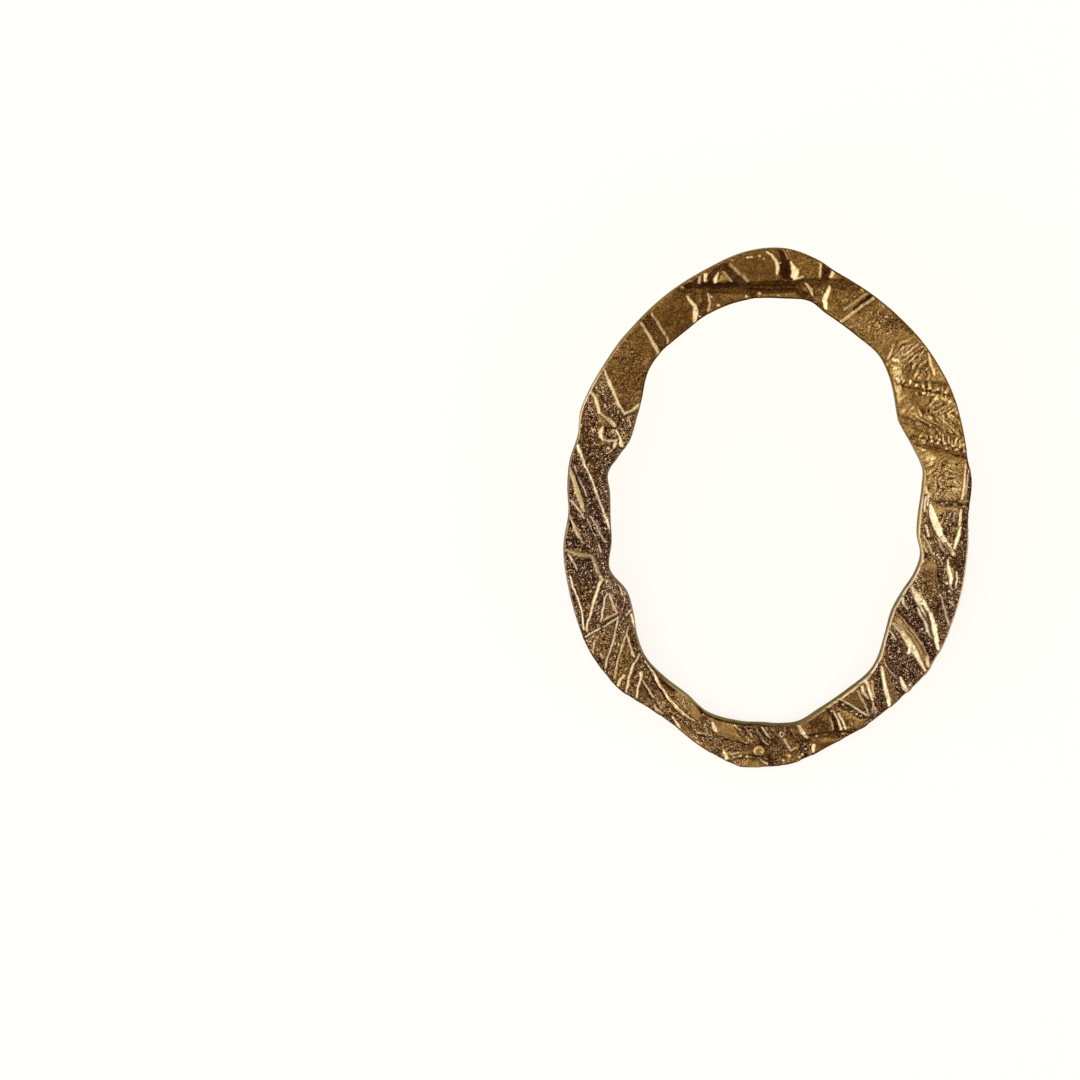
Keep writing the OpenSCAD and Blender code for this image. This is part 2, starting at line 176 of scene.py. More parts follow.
# %% Tables of grooves and of lines left standing
# Rows: the path's points as x, y, width in mm
GROOVES = [
    # Top, from left to right
    [[-12.7, 20.3, 0.8], [-10.1, 16.1, 1]],
    [[-7, 22.7, 1.3], [-6.9, 19]],
    [[-9.4, 22.6, 0.5], [-7, 22.5, 0.7], [-2.2, 22.5, 0.8], [2.5, 22.6]],
    [[-6.3, 22.7, 0.8], [-5, 24.4, 0.6]],
    [[-4.9, 24.5, 0.6], [-2.4, 22.2, 0.9]],
    [[-1.9, 22.3, 0.5], [-1.7, 21.1, 0.6]],
    [[0.6, 26.7, 0.7], [1.1, 25.1, 0.8], [1.4, 24, 1.2], [2, 23.2, 0.5]],
    [[1.7, 23, 0.4], [3.9, 21, 0.6]],
    [[2.3, 23, 0.4], [5, 22.9, 0.5], [8.3, 22.8, 0.7]],
    [[5.5, 25.4, 0.8], [5.2, 22.9, 0.9]],
    [[4.8, 22.7, 0.9], [4.4, 20.6, 1.1]],
    # Upper right
    [[13, 21.4, 3.9], [7.7, 17.2]],
    [[13.5, 14.1, 1], [14.8, 15.3, 0.9]],
    [[14.7, 15.9, 0.9], [15.3, 14.3, 0.6]],
    [[12.4, 13.1, 0.3], [15.2, 12.9, 0.4], [17, 12.7, 0.5], [18.2, 12.4, 0.6]],
    [[14, 12, 0.3], [16.2, 11.5]],
    [[16.6, 12.4, 0.4], [18.4, 11.6, 0.6]],
    [[12.6, 9.7, 0.5], [14.1, 9.1], [16.1, 8.5, 0.6], [18.1, 7.5, 0.4]],
    [[14.3, 7.5, 0.6], [16.4, 6.9, 0.7], [18.4, 6.3, 0.6], [20.1, 5.5, 0.7]],
    # Right
    [[17, 3.6, 3.4], [17.5, 3.6]],
    [[16.4, 1.2, 0.2], [17.6, 1.1, 0.35], [19.3, 0.9, 0.3]],
    [[19.9, 5.7, 0.6], [20.1, 2.5], [19.8, -0.6], [19.6, -3.1], [19.3, -5, 1.1]],
    [[15.7, 1.7, 0.4], [15.8, 0.1, 0.6], [16.3, -1.8, 1], [17.1, -3.8, 0.9], [17.6, -5.3, 0.7]],
    [[15.9, -4.3, 0.3], [17.9, -4.6, 0.5], [19.4, -5.1, 1.3]],
    # Lower right
    [[17.4, -4.8, 0.5], [17.6, -6.5, 0.7], [18.1, -8.6, 0.6], [18.8, -11.9, 0.5]],
    [[19.4, -5.1, 0.9], [19.3, -7.2, 0.8], [18.9, -10], [18.7, -12.1, 0.5]],
    [[18.3, -8.1, 0.9], [18.9, -7.9, 0.8]],
    [[15.3, -5.5, 0.3], [14.5, -7.1, 0.4]],
    [[14.1, -8.1, 0.8], [14.5, -9.4, 1.4], [15.4, -11, 1.2], [16.1, -12.3, 1.1], [16.6, -13.4, 1],
        [17.1, -15.4, 0.6]],
    [[12.5, -12.3, 0.8], [13, -13.7, 1.4], [13.6, -14.8, 2.4], [14.4, -15.8, 2.2],
        [15.7, -17.5, 1.4]],
    [[13, -16.2, 0.5], [13.6, -17.5, 0.7], [14.5, -19.4, 1]],
    [[11.3, -15.8, 0.7], [11.4, -17.1, 0.9], [11.8, -18.8, 1.2], [12, -21.1, 1.8]],
    [[10.2, -17.5, 0.8], [10.7, -19.1, 1.1], [11.3, -21.3, 1.4]],
    # Bottom
    [[7, -19.4, 0.4], [8.4, -19.8, 0.7], [11, -21.4], [11.6, -21.8]],
    [[6.7, -19.9, 0.3], [7.7, -22.8, 0.4]],
    [[7.2, -20.3, 0.2], [8, -22.4]],
    [[7.6, -20.6, 0.2], [8.3, -22.2]],
    [[4.6, -23.1, 0.3], [6.8, -22.9, 0.4], [8.7, -22.7, 0.6], [10.3, -22.4, 0.4]],
    [[4.8, -23.2, 0.5], [4.4, -24.3, 0.9], [4.5, -25.8, 1]],
    [[3, -22, 1], [3.5, -23.2, 1.1], [4.2, -23.7, 0.6]],
    [[-1.1, -22.2, 1], [0.8, -23.5, 1.4], [1.7, -25.1, 1.6]],
    [[1.8, -22.1, 0.7], [2.3, -22.9, 0.4]],
    [[-6, -23, 0.8], [-3.5, -23.9, 0.9], [-1.3, -24.3, 0.5]],
    [[-3.1, -21.5, 0.3], [-1.7, -23.5]],
    [[-6, -21.4, 0.7], [-5.3, -22.7]],
    [[-4.7, -24.8, 0.8], [-4, -26]],
    [[-3.3, -25.8, 0.4], [-1.7, -25.5]],
    [[-1.7, -25.3, 0.4], [0.1, -25.4]],
    [[0.1, -25.8, 0.7], [1.1, -26.4, 1]],
    # Lower left
    [[-12.3, -14.8, 0.9], [-11.7, -17.1, 1.1], [-10.6, -19.2, 1.2], [-8.8, -20.7, 0.8],
        [-6.6, -22.2, 1], [-4.9, -23.5, 0.9]],
    [[-10, -20.9, 0.7], [-9, -22.1]],
    [[-12.5, -15.2, 0.6], [-12.9, -17.1, 0.7], [-13.5, -19.4]],
    [[-14.4, -11, 0.5], [-14.9, -13.1], [-15.5, -15.4, 0.8], [-16.2, -17.5]],
    [[-17.4, -12.9, 0.6], [-17.8, -14.4, 0.8]],
    [[-17, -14.9, 0.4], [-16, -15.5]],
    [[-17.8, -13, 0.4], [-16.3, -12, 0.3], [-14.6, -10.9]],
    [[-16.5, -11.3, 0.3], [-14.6, -10.3]],
    [[-17.6, -11.7, 0.4], [-16.7, -11.2]],
    [[-16, -7.5, 0.7], [-16.6, -9.3, 0.8], [-17.1, -11.2]],
    [[-15.3, -7.9, 0.5], [-14.4, -9.8, 0.6]],
    [[-18.9, -5.3, 1], [-17.6, -5.4, 1.2]],
    [[-18.6, -6.1, 0.8], [-17.4, -6.6, 1.2]],
    [[-19.7, -7.1, 0.4], [-19.1, -9.2, 0.6], [-18.3, -12.1]],
    [[-19.9, -4.3, 0.5], [-19.6, -6.4, 0.7]],
    [[-16.1, -3.1, 0.7], [-16, -5.1, 0.8], [-15.5, -6.9, 1.1], [-14.9, -8.8, 0.9], [-13.4, -9.4]],
    [[-14, -9.8, 0.8], [-13.6, -11.2], [-12.7, -14.2, 0.7]],
    # Left
    [[-19.2, 6.3, 0.5], [-18.3, 3.9, 1.1], [-17.6, 1.5, 1.4], [-16.8, -1], [-16, -3.1, 0.8]],
    [[-19.8, 0.9, 0.6], [-19, -0.2, 0.8], [-18, -1.8, 0.9], [-17.2, -3.4, 0.8]],
    [[-20, -2.9, 0.6], [-18.4, -3], [-17.2, -3.8]],
    # Upper left
    [[-17, 14.1, 0.7], [-16.5, 12.7, 1.4], [-15.9, 11.3], [-15.3, 10.3, 1.2], [-14.3, 9.2, 1.3],
        [-13, 9.1, 2.2]],
    [[-17.7, 11.3, 0.7], [-17.6, 9.7, 1.3], [-17.5, 7.9, 1.4], [-17.8, 6.8, 0.8]],
    [[-15.9, 8.1, 0.7], [-14.9, 8.1, 0.8]],
    [[-16.1, 6.3, 1.2], [-14.9, 6.2, 1]],
    [[-16, 5.3, 0.8], [-16.2, 3.5, 0.9], [-16.3, 1.5, 0.7]],
]

RIDGES = [
    [[-7.1, 22.2, 0.3], [-6.9, 21.1]],
    [[15.8, -1, 0.3], [16.3, -2.2]],
    [[10.8, -17.1, 0.3], [11.3, -19.1, 0.2]],
    [[10.3, -17.4, 0.4], [11.1, -19.2, 0.3]],
    [[10, -17.9, 0.3], [10.5, -19, 0.2]],
    [[-0.1, -21.9, 0.2], [0.5, -23]],
    [[0.2, -22.1, 0.2], [1.1, -23.2]],
    [[2.1, -23.2, 0.3], [2.8, -24.5]],
    [[2.8, -24.6, 0.3], [3.5, -23.8, 0.2]],
    [[2.9, -24.7, 0.2], [3.4, -25.4]],
    [[-19.5, -0.2, 0.4], [-18.6, -1.6], [-17.6, -3.3, 0.3]],
    [[-16.4, 8.8, 0.4], [-16.3, 7.8]],
    [[-16.3, 7.7, 0.3], [-14.9, 7.4]],
    [[-15, 8.4, 0.2], [-14.4, 7.2]],
    [[-14.9, 7.4, 0.3], [-15.2, 6.7]],
    [[-14.5, 7.4, 0.4], [-14.3, 6.7]],
    [[-16.3, 5.9, 0.2], [-15.4, 6.6]],
]
print("grooves:", len(GROOVES), "standing lines:", len(RIDGES))

# %% [markdown]
# ## Bright slopes, crests and beads
#
# Rubbing an antiqued piece takes the dark off whatever stands proud, so the bright marks are
# all edges. Wide ones are slopes: one wall of a groove, laid back until it is half a millimetre
# wide and more. Narrow ones are crests, thin lines that the etchant left standing. Beads are
# drops left in the ground. Slits are the opposite, narrow cuts that stay nearly black. Between
# the lines, patches of the metal are grained like bark, with fine raised worms that all lie one
# way. Each slope says how bare its metal is, from 0 to 1, and it looks to the right hand of
# someone who walks along its path. Most paths run down the picture, so their slopes look left.

# %% Tables of bright slopes and crests
# Rows: how bare the slope is, then its path as x, y, width in mm
SLOPES = [
    # Top, from left to right
    (0.65, [[-11, 15.9, 0.25], [-11.2, 16.4, 0.35], [-11.6, 17.2], [-12, 18, 0.25],
        [-12.4, 18.6, 0.2], [-12.8, 19.2]]),
    (0.35, [[-11.7, 19.9, 0.2], [-11.2, 19.2], [-10.6, 18.2], [-10.2, 17.5], [-10.1, 17.1]]),
    (0.85, [[-7.5, 19.2, 0.35], [-7.4, 20, 0.5], [-7.5, 20.7, 0.35], [-7.9, 21.2, 0.3],
        [-8.2, 21.7, 0.2]]),
    (0.45, [[-6.2, 21.9, 0.15], [-6.1, 21.2], [-6.2, 20.3, 0.2]]),
    (0.85, [[-5.3, 23.9, 0.15], [-5.5, 23.4, 0.35], [-5.5, 23.1]]),
    (0.4, [[-4, 23.1, 0.25], [-4.8, 24, 0.2]]),
    (0.3, [[-4.2, 24.7, 0.3], [-2.4, 23.2]]),
    (0.8, [[0.45, 23.9, 0.25], [0.45, 24.5, 0.4], [0.3, 25.1, 0.3], [-0.1, 25.7, 0.2],
        [-0.6, 26, 0.15]]),
    (0.4, [[1.1, 26, 0.2], [1.4, 25.4]]),
    (0.75, [[1.7, 25, 0.15], [1.95, 24.5, 0.35], [2.2, 24.1, 0.65], [2.1, 23.7, 0.55]]),
    (0.65, [[4.6, 23.6, 0.2], [4.65, 24.4], [4.8, 25]]),
    (0.75, [[5.9, 24.1, 0.35], [5.7, 23.5, 0.3]]),
    (0.75, [[5.6, 22.6, 0.2], [5.35, 21.9, 0.4], [5.15, 21.2, 0.45], [5.2, 20.6, 0.35]]),
    # Right
    (0.45, [[15.4, 16, 0.15], [15.7, 15, 0.3], [16, 14, 0.25]]),
    (0.85, [[16.2, 0.9, 0.2], [16.35, 0.2, 0.5], [16.6, -0.5, 0.75], [16.95, -1.4],
        [17.3, -2.2, 0.5], [18.1, -3.2, 0.42], [18.7, -4.2, 0.3]]),
    (0.5, [[17.1, -2.6, 0.2], [17.6, -3.7, 0.18]]),
    (0.85, [[19.25, -1.3, 0.25], [19.1, -2, 0.3], [18.85, -2.7], [18.7, -3.4, 0.2]]),
    (0.85, [[18.05, -4.7, 0.16], [18.2, -5.5, 0.3], [18.4, -6.3, 0.36], [18.5, -7, 0.3]]),
    # Lower right
    (0.75, [[15.3, -9.7, 0.16], [15.65, -10.3, 0.22], [16.1, -11.2], [16.6, -12.5, 0.16]]),
    (0.9, [[14.6, -7.5, 0.3], [15.2, -8.4, 0.6], [15.8, -9.3, 0.75], [16.4, -10.3, 0.6],
        [16.8, -11.3, 0.55], [17.2, -12.4, 0.45], [17.5, -13.8, 0.3]]),
    (0.9, [[12.9, -11.2, 0.25], [13.6, -12, 0.35], [14.3, -12.9, 0.45], [14.8, -13.6, 0.6],
        [15.2, -14.3, 0.5], [15.7, -15.1, 0.4], [16.2, -16.1, 0.25]]),
    (0.9, [[14.7, -13.7, 0.3], [14.6, -14.3]]),
    (0, [[16.8, -14.9, 0.3], [15.7, -13.1, 0.4], [15, -11.9], [13.1, -9.8]]),
    (0.8, [[11.8, -15.7, 0.2], [12, -16.6, 0.3], [12.3, -17.8, 0.35], [12.6, -19],
        [12.8, -20, 0.25]]),
    (0, [[13.7, -19, 0.35], [12.9, -16.6], [12.6, -15.9, 0.25]]),
    (0.85, [[13.8, -16.9, 0.25], [14.2, -17.8, 0.45], [14.6, -18.5, 0.35]]),
    (0.8, [[10.3, -17.3, 0.35], [10.7, -18.2, 0.3], [11, -19.2, 0.2]]),
    (0.8, [[9.95, -17.8, 0.2], [10.1, -18.3, 0.35], [10.5, -19, 0.25]]),
    # Bottom
    (0.35, [[6.6, -20.3, 0.25], [6.9, -21.2, 0.3], [7.2, -22.2]]),
    (0.8, [[5.2, -23.9, 0.25], [5.1, -24.6, 0.2]]),
    (1, [[3.5, -21.7, 0.25], [3.8, -22.2, 0.32], [4.3, -22.9], [4.6, -23.2, 0.2]]),
    (0.85, [[-4, -24.4, 0.15], [-3.9, -24.8, 0.3], [-3.6, -25.3, 0.4]]),
    (0.75, [[-5.2, -21.5, 0.25], [-5, -22, 0.32], [-4.8, -22.4, 0.35]]),
    (0.9, [[-9.1, -21.05, 0.2], [-8.8, -21.5, 0.25], [-8.5, -22]]),
    # Lower left
    (0.9, [[-12, -15.1, 0.14], [-11.6, -15.7, 0.2], [-11.2, -16.3, 0.25], [-10.4, -17.8],
        [-9.5, -19, 0.22]]),
    (0.5, [[-12.65, -14.5, 0.2], [-12.85, -15.1], [-13.2, -15.5, 0.3], [-13.4, -16],
        [-13.6, -16.8, 0.25], [-13.8, -17.5], [-13.9, -18.3, 0.2]]),
    (0.55, [[-14.7, -10.5, 0.2], [-15, -12.2], [-15.3, -13.2, 0.25], [-15.6, -14.2], [-15.9, -15],
        [-15.9, -15.9, 0.2]]),
    (0.65, [[-16.4, -6.7, 0.35], [-16.7, -7.4, 0.3], [-17.1, -8.6], [-17.4, -9.7],
        [-17.7, -10.8, 0.25], [-17.9, -12, 0.2]]),
    # Left
    (0.75, [[-18.9, 6.9, 0.3], [-18.6, 6.1, 0.22], [-18.3, 5.3, 0.2], [-17.6, 3.7],
        [-16.8, 1.6, 0.22], [-15.9, -0.7], [-15.6, -1.6, 0.2]]),
    (0.55, [[-16.25, 14.4, 0.2], [-16, 13.7, 0.28], [-15.6, 12.8, 0.3], [-15.1, 11.6],
        [-14.45, 10.3], [-14.25, 10, 0.25]]),
    (0.6, [[-17.6, 12.2, 0.3], [-17.1, 11.6], [-16.9, 10.9, 0.35], [-16.8, 10.3, 0.25]]),
    (0.65, [[-16.7, 10.3, 0.15], [-16.1, 9.75, 0.25], [-15.65, 9.3, 0.4], [-15.3, 9]]),
    (0.65, [[-16.5, 8.8, 0.3], [-16.6, 8.2, 0.4], [-16.5, 7.8, 0.3]]),
]

# Rows: how bare the crest is, then its path as x, y, width in mm
CRESTS = [
    # Top and upper right
    (0.8, [[-2.5, 25.45, 0.2], [-2.1, 25.47]]),
    (0.9, [[-6.5, 23.8, 0.3], [-6.5, 23.1, 0.38]]),
    (0.5, [[-7, 23.55, 0.25], [-7.05, 22.95, 0.3]]),
    (0.8, [[2.2, 23.3, 0.25], [2.9, 23.6]]),
    (0.55, [[3.3, 22.9, 0.22], [3.75, 22.4, 0.25], [3.95, 21.7, 0.2]]),
    (0.5, [[6.8, 19.2, 0.35], [7.1, 19.4], [8, 20.1, 0.3], [9.1, 20.9, 0.25], [9.9, 21.4]]),
    (0.35, [[7, 20.4, 0.2], [8.2, 21.25], [9.2, 21.9]]),
    (0.7, [[11.85, 16.5, 0.16], [11.45, 15.6, 0.2]]),
    (0.6, [[12.95, 16.8, 0.14], [12.5, 16.1], [12.2, 15.8]]),
    (0.7, [[14.3, 17, 0.16], [13.7, 16.4], [13, 15.9], [12.5, 15.8]]),
    (0.5, [[13.6, 16.9, 0.14], [13.1, 16.3]]),
    (0.5, [[13.9, 16.2, 0.14], [13.3, 15.6], [12.8, 15.4]]),
    (0.6, [[14.9, 16.2, 0.16], [14.5, 15.7, 0.14]]),
    (0.5, [[14.4, 15.6, 0.14], [13.9, 15.2]]),
    (0.8, [[12, 15.5, 0.3], [12.6, 15.3, 0.16]]),
    (0.6, [[11.9, 14.9, 0.25], [12.6, 14.7, 0.16]]),
    (0.4, [[13.2, 15, 0.14], [13, 14.5]]),
    (0.4, [[16.4, 10.9, 0.16], [16.9, 11.2]]),
    (0.4, [[16, 10.2, 0.14], [16.7, 10.5], [17.3, 10.9]]),
    (0.4, [[15.2, 9.9, 0.14], [15.9, 9.3], [16.5, 9.1]]),
    (0.4, [[16.6, 9.9, 0.14], [17.5, 9.1, 0.16], [18.7, 8.1]]),
    (0.3, [[17.6, 9.9, 0.14], [18.4, 9.1]]),
    (0.3, [[15.2, 13.9, 0.14], [14.8, 14.4]]),
    (0.6, [[17.15, 8, 0.18], [17.2, 7.3, 0.16]]),
    (0.5, [[16.5, 8, 0.14], [16.5, 7.6]]),
    (0.5, [[17.7, 7.8, 0.16], [17.75, 7.2]]),
    (0.5, [[18.8, 7.4, 0.16], [18.9, 6.8]]),
    (0.5, [[15.5, 7.9, 0.14], [15.6, 7.5]]),
    (0.9, [[12.4, 13.6, 0.3], [12.6, 13.2]]),
    (0.8, [[13.1, 13.5, 0.15], [13, 13.1]]),
    (0.9, [[13.8, 13.4, 0.2], [13.7, 13]]),
    # Right
    (0.7, [[19.5, 5, 0.18], [19.5, 3, 0.2], [19.3, 1.6, 0.18]]),
    (0.5, [[19.85, 4.8, 0.14], [19.8, 3.4], [19.6, 2]]),
    (0.8, [[15.6, 2.7, 0.4], [16, 1.8, 0.2]]),
    (0.9, [[15.7, 1.8, 0.15], [15.6, 0.2]]),
    (0.9, [[15.9, 1.7, 0.15], [15.9, 0.8]]),
    (0.85, [[19.15, 0.5, 0.2], [19.1, -0.4, 0.22], [19.05, -1.2, 0.18]]),
    (0.3, [[19.75, 0.6, 0.14], [20, 0.5]]),
    (0.3, [[19.7, -0.3, 0.14], [19.95, -0.4]]),
    (0.3, [[19.6, -1.4, 0.14], [19.9, -1.6]]),
    (0.4, [[18.55, 0.2, 0.16], [18.5, -0.7]]),
    (0.3, [[18.15, 0.1, 0.14], [18.1, -0.5]]),
    (0.8, [[15.7, -1.1, 0.2], [16.1, -2.2, 0.25]]),
    (0.6, [[15.6, -2.1, 0.15], [16.2, -3], [16.5, -4]]),
    (0.2, [[15.6, -2.8, 0.25], [15.9, -3.8]]),
    (0.35, [[15.5, -4.2, 0.4], [15.6, -4.8]]),
    (0.85, [[19, -5.9, 0.14], [19.1, -6.6, 0.16], [19.05, -7.1]]),
    (0.7, [[18.5, -7.3, 0.2], [18.65, -7.8, 0.16]]),
    (0.7, [[19.05, -7.2, 0.2], [18.95, -7.6, 0.16]]),
    # Lower right
    (0.5, [[17.5, -8.2, 0.2], [17.9, -9.5], [18.2, -10.6], [18.4, -11.4]]),
    (0.6, [[18.6, -9, 0.15], [18.9, -9.5]]),
    (0.6, [[16.4, -14.6, 0.3], [16.5, -15.6, 0.35]]),
    (0.8, [[12.6, -12.1, 0.15], [13.2, -12.9]]),
    (0.8, [[13.8, -8.6, 0.2], [13.9, -9.3], [14.2, -9.7]]),
    (0.7, [[16.3, -12, 0.14], [16.8, -12.7]]),
    (0.4, [[12.1, -15.3, 0.15], [12.8, -16.2], [13.4, -17, 0.14]]),
    (0.12, [[13.5, -10.3, 0.14], [14.6, -11.7], [15.6, -13], [16.4, -14.4]]),
    (0.1, [[13.9, -11.2, 0.14], [15, -12.8], [15.9, -14.3]]),
    (0.2, [[13.6, -14.9, 0.14], [14.3, -14.6]]),
    (0.2, [[14.2, -15.3, 0.14], [15, -14.9]]),
    (0.75, [[7.9, -19.2, 0.25], [8.4, -19.45], [9.2, -19.95, 0.28], [10.4, -20.8, 0.2]]),
    (0.7, [[11, -19.2, 0.14], [11.5, -20.6]]),
    (0.5, [[11.2, -19.9, 0.14], [11.1, -20.6]]),
    (0.35, [[10.9, -17.2, 0.3], [11.2, -18.9]]),
    (0.35, [[9.6, -18.2, 0.25], [10.7, -20.8]]),
    # Bottom
    (0.8, [[7.15, -20.3, 0.14], [7.5, -21, 0.15], [7.8, -21.9, 0.2], [7.9, -22.3]]),
    (1.0, [[7.65, -20.6, 0.14], [8, -21.2, 0.2], [8.3, -21.9], [8.4, -22.2]]),
    (0.9, [[-0.1, -22, 0.14], [0.1, -22.3]]),
    (0.6, [[0.1, -22.3, 0.14], [0.5, -22.9, 0.15], [0.8, -23.3]]),
    (0.4, [[0.1, -23.5, 0.2], [0.6, -23.9]]),
    (0.5, [[1.95, -22.55, 0.14], [2.2, -22.8], [1.95, -23.05], [1.7, -22.8], [1.95, -22.55]]),
    (0.7, [[2.25, -23.3, 0.2], [2.5, -23.8, 0.18]]),
    (0.6, [[2.6, -24, 0.25], [2.9, -24.5, 0.2]]),
    (0.5, [[3, -24.5, 0.2], [3.4, -24.2]]),
    (0.25, [[-1.8, -22, 0.14], [-0.9, -23.2]]),
    (0.25, [[-0.8, -22, 0.14], [0.1, -23.3]]),
    (0.2, [[0.8, -22.1, 0.14], [1.6, -23]]),
    (0.7, [[0.1, -25.7, 0.2], [0.5, -25.9, 0.3]]),
    (0.8, [[-3.1, -24.9, 0.2], [-2.4, -24.7]]),
    (0.8, [[-2.8, -21.85, 0.14], [-2.6, -22.2, 0.15]]),
    # Lower left
    (0.9, [[-9.7, -18.8, 0.28], [-8.9, -19.8, 0.34], [-8, -20.7]]),
    (0.6, [[-8, -20.7, 0.3], [-7, -21.4, 0.25]]),
    (0.5, [[-11, -19.7, 0.3], [-10.8, -20.1], [-10.2, -20.6]]),
    (0.8, [[-14.1, -16.6, 0.25], [-14.5, -17], [-14.7, -17.6, 0.3]]),
    (0.7, [[-12.4, -16.4, 0.4], [-12.5, -17.3, 0.25], [-12.7, -18, 0.2], [-12.8, -18.9]]),
    (0.5, [[-12.2, -17.1, 0.2], [-11.8, -17.8, 0.25], [-11.4, -18.4, 0.3], [-11.1, -18.9]]),
    (0.45, [[-13.7, -11.5, 0.14], [-13.9, -12.3, 0.2], [-14.1, -12.7], [-14.3, -13.7], [-14.7, -15],
        [-14.95, -16.3], [-15.05, -16.9]]),
    (0.6, [[-13.9, -12.3, 0.2], [-13.5, -13.5], [-13.1, -14.6, 0.25]]),
    (0.85, [[-13.4, -10.3, 0.2], [-13.1, -11.3, 0.3], [-12.8, -12.2, 0.25]]),
    (0.6, [[-13.9, -10.4, 0.14], [-13.3, -9.8]]),
    (0.55, [[-15.8, -8.1, 0.2], [-16.1, -8.6], [-16.3, -9.8], [-16.5, -11]]),
    (0.55, [[-15.6, -8.1, 0.2], [-15.5, -8.5, 0.25], [-15.2, -9.3], [-14.8, -10, 0.2]]),
    (0.8, [[-16.2, -10.9, 0.2], [-15.5, -10.5], [-14.8, -10.1]]),
    (0.7, [[-16.1, -11.6, 0.15], [-15.4, -11], [-14.7, -10.6]]),
    (0.8, [[-18, -12.6, 0.2], [-17.2, -12.1], [-16.6, -11.7]]),
    (0.5, [[-17.1, -13, 0.15], [-17.3, -14.2]]),
    (0.7, [[-16.5, -14.3, 0.15], [-16.3, -14.8, 0.2]]),
    (0.7, [[-14.7, -7.2, 0.15], [-14.3, -8.2], [-14.1, -8.9]]),
    (0.7, [[-14.4, -7.2, 0.15], [-14, -8.2]]),
    # Left
    (0.85, [[-19.6, -6.4, 0.2], [-19.3, -7.3], [-18.8, -8.6], [-18.4, -9.8, 0.16], [-18.1, -11.9]]),
    (0.8, [[-19.8, -4, 0.15], [-19.4, -4.6, 0.2], [-18.9, -5.6, 0.15]]),
    (0.35, [[-19.9, -3.6, 0.3], [-19, -4, 0.4], [-18, -4.2], [-17.5, -4.3, 0.3], [-17.3, -4.6, 0.4],
        [-17, -5.4, 0.45], [-16.8, -6.2, 0.4], [-16.4, -6.7]]),
    (0.7, [[-19.7, -0.1, 0.3], [-19.4, -0.8, 0.25], [-19.1, -1.4]]),
    (0.5, [[-19.3, -1.2, 0.3], [-18.9, -1.8], [-18.5, -2.5], [-18.2, -3, 0.25]]),
    (0.5, [[-17.6, -0.2, 0.2], [-16.9, -1.2], [-16.6, -2], [-16.1, -2.9]]),
    (0.6, [[-16.7, -3.2, 0.2], [-16.5, -3.8]]),
    (0.5, [[-19.6, 4.5, 0.3], [-19.2, 3.6, 0.35], [-19, 2.9, 0.45], [-18.8, 2], [-18.5, 1.3, 0.5],
        [-18.3, 0.6, 0.4], [-18.1, 0.3, 0.2]]),
    (0.6, [[-19.15, 4.85, 0.2], [-18.95, 4.35, 0.15]]),
    (0.55, [[-18.75, 3.7, 0.12], [-18.4, 2.9, 0.2], [-17.95, 1.8, 0.18]]),
    (0.7, [[-19.5, 1.4, 0.2], [-19.1, 0.9], [-18.7, 0.4], [-18.2, -0.4]]),
    # Upper left
    (0.8, [[-16.5, 7.8, 0.2], [-16.3, 7.5], [-15.6, 7.4], [-15, 7.5]]),
    (0.9, [[-15.1, 8.4, 0.2], [-14.8, 7.9, 0.25], [-14.6, 7.5, 0.2], [-14.5, 6.9, 0.35]]),
    (0.8, [[-15.1, 7.3, 0.25], [-15.2, 6.8]]),
    (0.4, [[-15.3, 6.6, 0.15], [-15.7, 6.3]]),
    (0.5, [[-14.2, 10.05, 0.25], [-13.4, 10.5, 0.3], [-13, 10.8, 0.4], [-12.7, 11]]),
    (0.5, [[-13.9, 9.8, 0.15], [-13.65, 8.9]]),
]
print("bright slopes:", len(SLOPES), "crests:", len(CRESTS))

